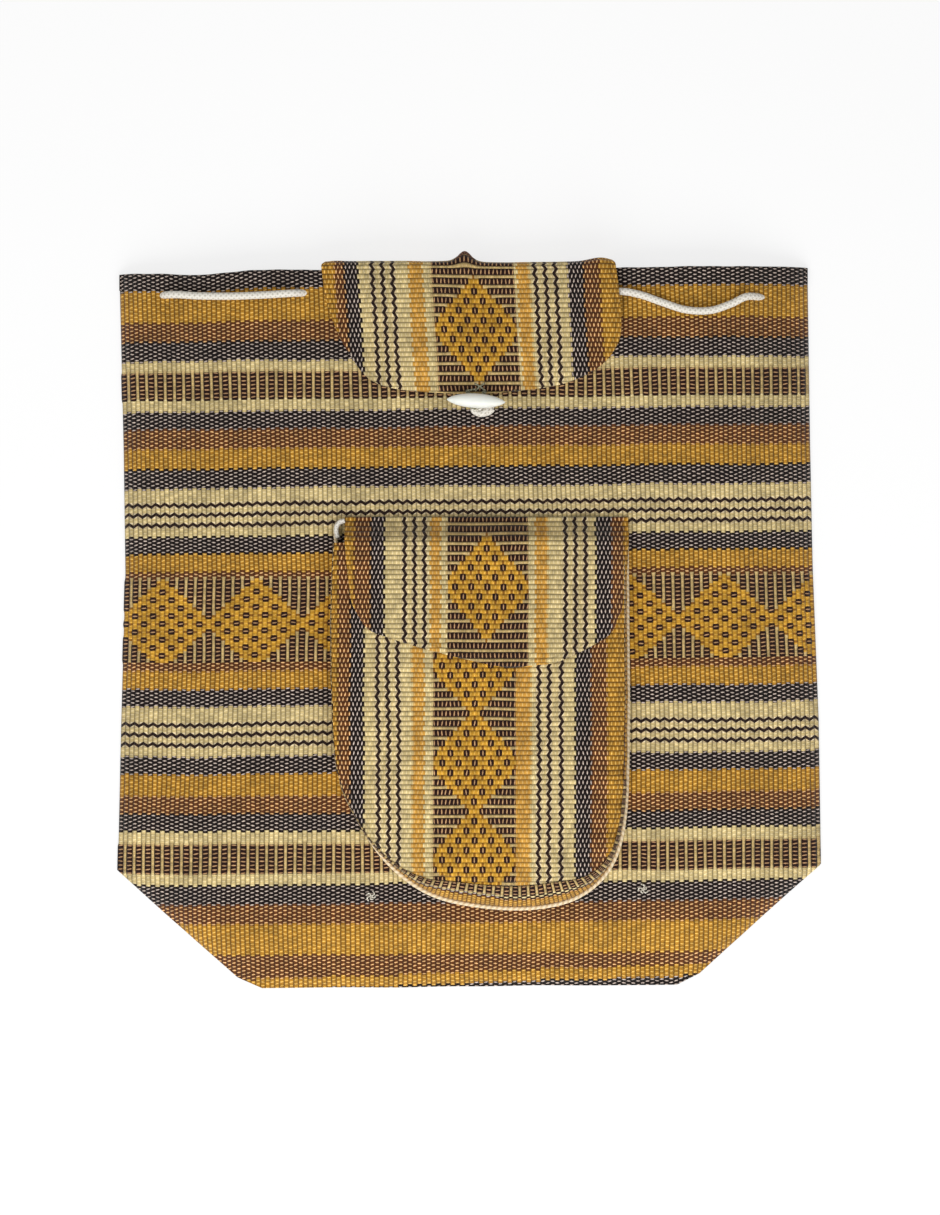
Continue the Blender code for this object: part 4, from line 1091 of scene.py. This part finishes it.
# %% The loop of the flap and the tufts
THREAD_RADIUS = 0.45
loop_z = knot_z + 4.5 + 1.0
loops = []
for number, (wide, drop) in enumerate(((4.2, 0.0), (3.4, 0.5), (5.0, -0.4))):
    ends = [[(KNOT[0] + side * (wide + 0.6), 131.5, loop_z + 3.6 + drop),
             (KNOT[0] + side * wide, 128.8, loop_z + 1.6)] for side in (-1, 1)]
    line = ends[0]
    for k in range(9):
        t = math.pi + math.pi * k / 8
        line.append((KNOT[0] + (wide - 0.6) * math.cos(t), KNOT[1] + (wide - 0.6) * math.sin(t),
                     loop_z + drop))
    line += ends[1][::-1]
    line = spline(line, 4)
    loops.append(tube(f"flap_loop_thread_{number + 1}", line, THREAD_RADIUS, 8, grey_thread))

CROSS = [((3.0, 136.2), (9.5, 131.6)), ((8.8, 136.4), (3.2, 131.8)), ((-2.0, 131.9), (5.0, 132.9))]
cross_z = float(flap_top(6.0, 134.0))
stitches = []
for number, ((x0, y0), (x1, y1)) in enumerate(CROSS):
    line = [(x0, y0, cross_z - 0.1), ((x0 + x1) / 2, (y0 + y1) / 2, cross_z + 0.7),
            (x1, y1, cross_z - 0.1)]
    line = spline(line, 4)
    stitches.append(tube(f"flap_stitch_{number + 1}", line, THREAD_RADIUS, 8, grey_thread))


def tuft(name, x, y, strands):
    """Loose ends of sewing thread, each a short curl: (its heading, its reach, its rise)."""
    made = []
    z = float(sack_z(x, y))
    for k, (heading, reach, rise) in enumerate(strands):
        t = math.radians(heading)
        steps = ((0.0, 0.0, 0.1), (0.4, 0.0, rise), (0.8, 0.35, rise), (1.0, 0.9, 0.45))
        line = [(x + share * reach * math.cos(t + bend), y + share * reach * math.sin(t + bend),
                 z + up) for share, bend, up in steps]
        made.append(tube(f"{name}_{k + 1}", spline(line, 5), 0.42, 6, sewing_thread))
    return made


left_tuft = tuft("tuft_left", -56.6, -158.1, [(20, 3.0, 1.3), (110, 2.6, 1.6), (190, 3.2, 1.2),
                                              (250, 2.2, 1.5), (320, 2.8, 1.2)])
right_tuft = tuft("tuft_right", 99.8, -154.1, [(60, 3.0, 1.4), (150, 3.0, 1.2), (215, 2.4, 1.6),
                                               (285, 3.1, 1.3), (350, 2.2, 1.5)])

# %% [markdown]
# ## Straps and hanging tape
# The photograph hides the straps. They are taken as plain cotton webbing, flat under the bag, 26 mm
# wide, each sewn down at its ends. The hanging tape is a folded narrow tape behind the flap's fold,
# of which only a dark peak shows.

# %% Webbing
webbing, n, web_shader = new_material("woven cotton webbing")
spot = add(n, "ShaderNodeUVMap", uv_map="round")
parts = add(n, "ShaderNodeSeparateXYZ", {0: spot})
herring = add(n, "ShaderNodeMath", {0: parts, 1: 4.0}, operation="PINGPONG")
slope = add(n, "ShaderNodeMath", {0: herring, 1: 0.6, 2: parts.outputs[1]},
            operation="MULTIPLY_ADD")
twill = add(n, "ShaderNodeMath", {0: slope, 1: 0.8}, operation="PINGPONG")
mask = add(n, "ShaderNodeMapRange", {0: twill, 1: 0.15, 2: 0.65, 3: 0.0, 4: 1.0})
tone = add(n, "ShaderNodeMix", {0: mask, 6: linear("#3B2418"), 7: linear("#6A4732")},
           data_type="RGBA")
bump = add(n, "ShaderNodeBump", {"Strength": 0.6, "Distance": 0.0004, "Height": mask})
wire(web_shader, {"Base Color": tone.outputs[2], "Normal": bump, "Roughness": 0.85})
RIBBON_RING = [(-0.5, 0.25), (-0.5, 0.75), (-0.47, 1.0), (0.47, 1.0), (0.5, 0.75), (0.5, 0.25),
               (0.47, 0.0), (-0.47, 0.0)]


def ribbon(name, centre, width, thick, lift=0.0):
    """A flat band along a line, with rounded edges. UV is millimetres across and along."""
    line = np.array(centre, float)
    run = headings(line)
    side = np.stack([-run[:, 1], run[:, 0], np.zeros(len(run))], -1)
    rings = [[spot + across * share * width + (0, 0, lift + up * thick)
              for share, up in RIBBON_RING] for spot, across in zip(line, side)]
    edges = [share * width + EVEN_SHIFT for share, _ in RIBBON_RING]
    around = list(zip(edges, edges[1:] + edges[:1]))
    return sweep(name, rings, around, lengths(line), webbing, flip=True)


STRAP_WIDTH = 26.0
STRAP_PATH = [(18.0, 158.0), (38.0, 80.0), (84.0, 0.0), (106.0, -80.0), (103.0, -150.0)]
straps = {}
for name, side in (("left", -1), ("right", 1)):
    path = spline([(side * x, y, 0.0) for x, y in STRAP_PATH], 12)
    straps[name] = ribbon(f"strap_webbing_{name}", path, STRAP_WIDTH, 2.3, 0.05)
PEAK = [(-9.0, 206.6), (-7.0, 208.0), (-4.8, 210.2), (-2.9, 211.3), (-1.0, 210.4), (1.2, 208.2),
        (3.2, 206.8)]
tape_line = spline([(x, y, 16.5 + 3.0 * math.cos((x + 2.9) / 5.0)) for x, y in PEAK], 6)
hang_tape = ribbon("hang_tape", tape_line, 1.7, 9.0, -4.5)
TAPE_ROOT = [(-1.4, 184.5, 0.0), (-1.4, 198.0, 0.0), (-1.4, 207.0, 0.6), (-1.4, 209.5, 3.0)]
tape_root = ribbon("hang_tape_root", TAPE_ROOT, 12.0, 1.7, 0.1)

# %% [markdown]
# ## Which piece moves with what
# Every piece rides on the bag. Only the toggle's peg rides on the turning body. Each new piece
# stands for the CAD solids that it covers, which are then hidden.

# %% Bodies, replaced solids and material slots
RIDES = [
    (sack_front, "bag", ["body"], "sack_cloth"), (sack_back, "bag", [], "sack_cloth"),
    (lining_front, "bag", [], "sack_cloth"), (lining_back, "bag", [], "sack_cloth"),
    (top_flap, "bag", ["flap"], "flap_cloth"),
    (pocket_panel, "bag", ["pocket_front"], "flap_cloth"),
    (pocket_strip, "bag", ["pocket_gusset"], "gusset_cloth"),
    (pocket_flap, "bag", ["pocket_flap"], "flap_cloth"),
    (pocket_piping_cord, "bag", ["pocket_piping"], "piping"), (piping_end, "bag", [], "piping"),
    (drawstring_cord, "bag", ["drawstring"], "cord"),
    (cord_knot, "bag", ["drawstring_knot"], "cord"),
    (knot_neck, "bag", [], "cord"), (knot_ends, "bag", [], "cord"),
    (toggle_peg, "toggle", ["toggle"], "toggle"),
    (straps["left"], "bag", ["shoulder_strap_left"], "strap_webbing"),
    (straps["right"], "bag", ["shoulder_strap_right"], "strap_webbing"),
    (hang_tape, "bag", ["hang_loop"], "tape"), (tape_root, "bag", [], "tape"),
]
for number, piece in enumerate(loops + stitches):
    RIDES.append((piece, "bag", ["flap_loop"] if number == 0 else [], "thread"))
for pieces, node in ((left_tuft, "thread_tack_left"), (right_tuft, "thread_tack_right")):
    for number, piece in enumerate(pieces):
        RIDES.append((piece, "bag", [node] if number == 0 else [], "thread"))
for piece, body, covered, slot in RIDES:
    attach(piece, body)
    if covered:
        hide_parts(*covered)
print(len(RIDES), "pieces")

# %% [markdown]
# ## Floor and light
# The photograph has a pure white ground and flat light, a little stronger from below the picture.
# The floor is a white sheet. Lamps and sky together give about the light at which a colour renders
# as it is written. The floor adds a little white for the camera alone, so it reads as paper white
# and still holds the soft shadow of the bag.

# %% Floor, lamps and sky
FLOOR_GLOW = 0.75
FLOOR_REACH = 3
SKY = 0.48
paper, n, sheet = new_material("matt white paper")
wire(sheet, {"Base Color": linear("#FAFAFA"), "Roughness": 1.0, "Specular IOR Level": 0.0})
seen = add(n, "ShaderNodeLightPath")
glow = add(n, "ShaderNodeEmission", {0: (1.0, 1.0, 1.0, 1.0), 1: 1.0})
lit = add(n, "ShaderNodeMath", {0: seen, 1: FLOOR_GLOW}, operation="MULTIPLY")
blend = add(n, "ShaderNodeMixShader", {0: lit, 1: sheet, 2: glow})
wire(n["Material Output"], {0: blend})
floor_mesh = bpy.data.meshes.new("floor")
corners = [(FLOOR_REACH * x, FLOOR_REACH * y, 0) for x, y in ((-1, -1), (1, -1), (1, 1), (-1, 1))]
floor_mesh.from_pydata(corners, [], [(0, 1, 2, 3)])
floor_mesh.materials.append(paper)
floor = show("floor", floor_mesh)

world = bpy.data.worlds.new("studio")
bpy.context.scene.world = world
world.use_nodes = True
wire(world.node_tree.nodes["Background"], {0: (1.0, 1.0, 1.0, 1.0), 1: SKY})
LAMPS = [("low", (0.05, -0.75, 0.8), 1.0, 10.8), ("left", (-0.9, 0.3, 1.6), 1.2, 6.0)]
for name, spot, size, power in LAMPS:
    lamp = show(f"lamp_{name}", bpy.data.lights.new(f"lamp_{name}", "AREA"))
    lamp.data.size = size
    lamp.data.energy = power
    lamp.location = spot
    lamp.rotation_euler = (-Vector(spot)).to_track_quat("-Z", "Y").to_euler()
bpy.context.scene.view_settings.view_transform = "Standard"
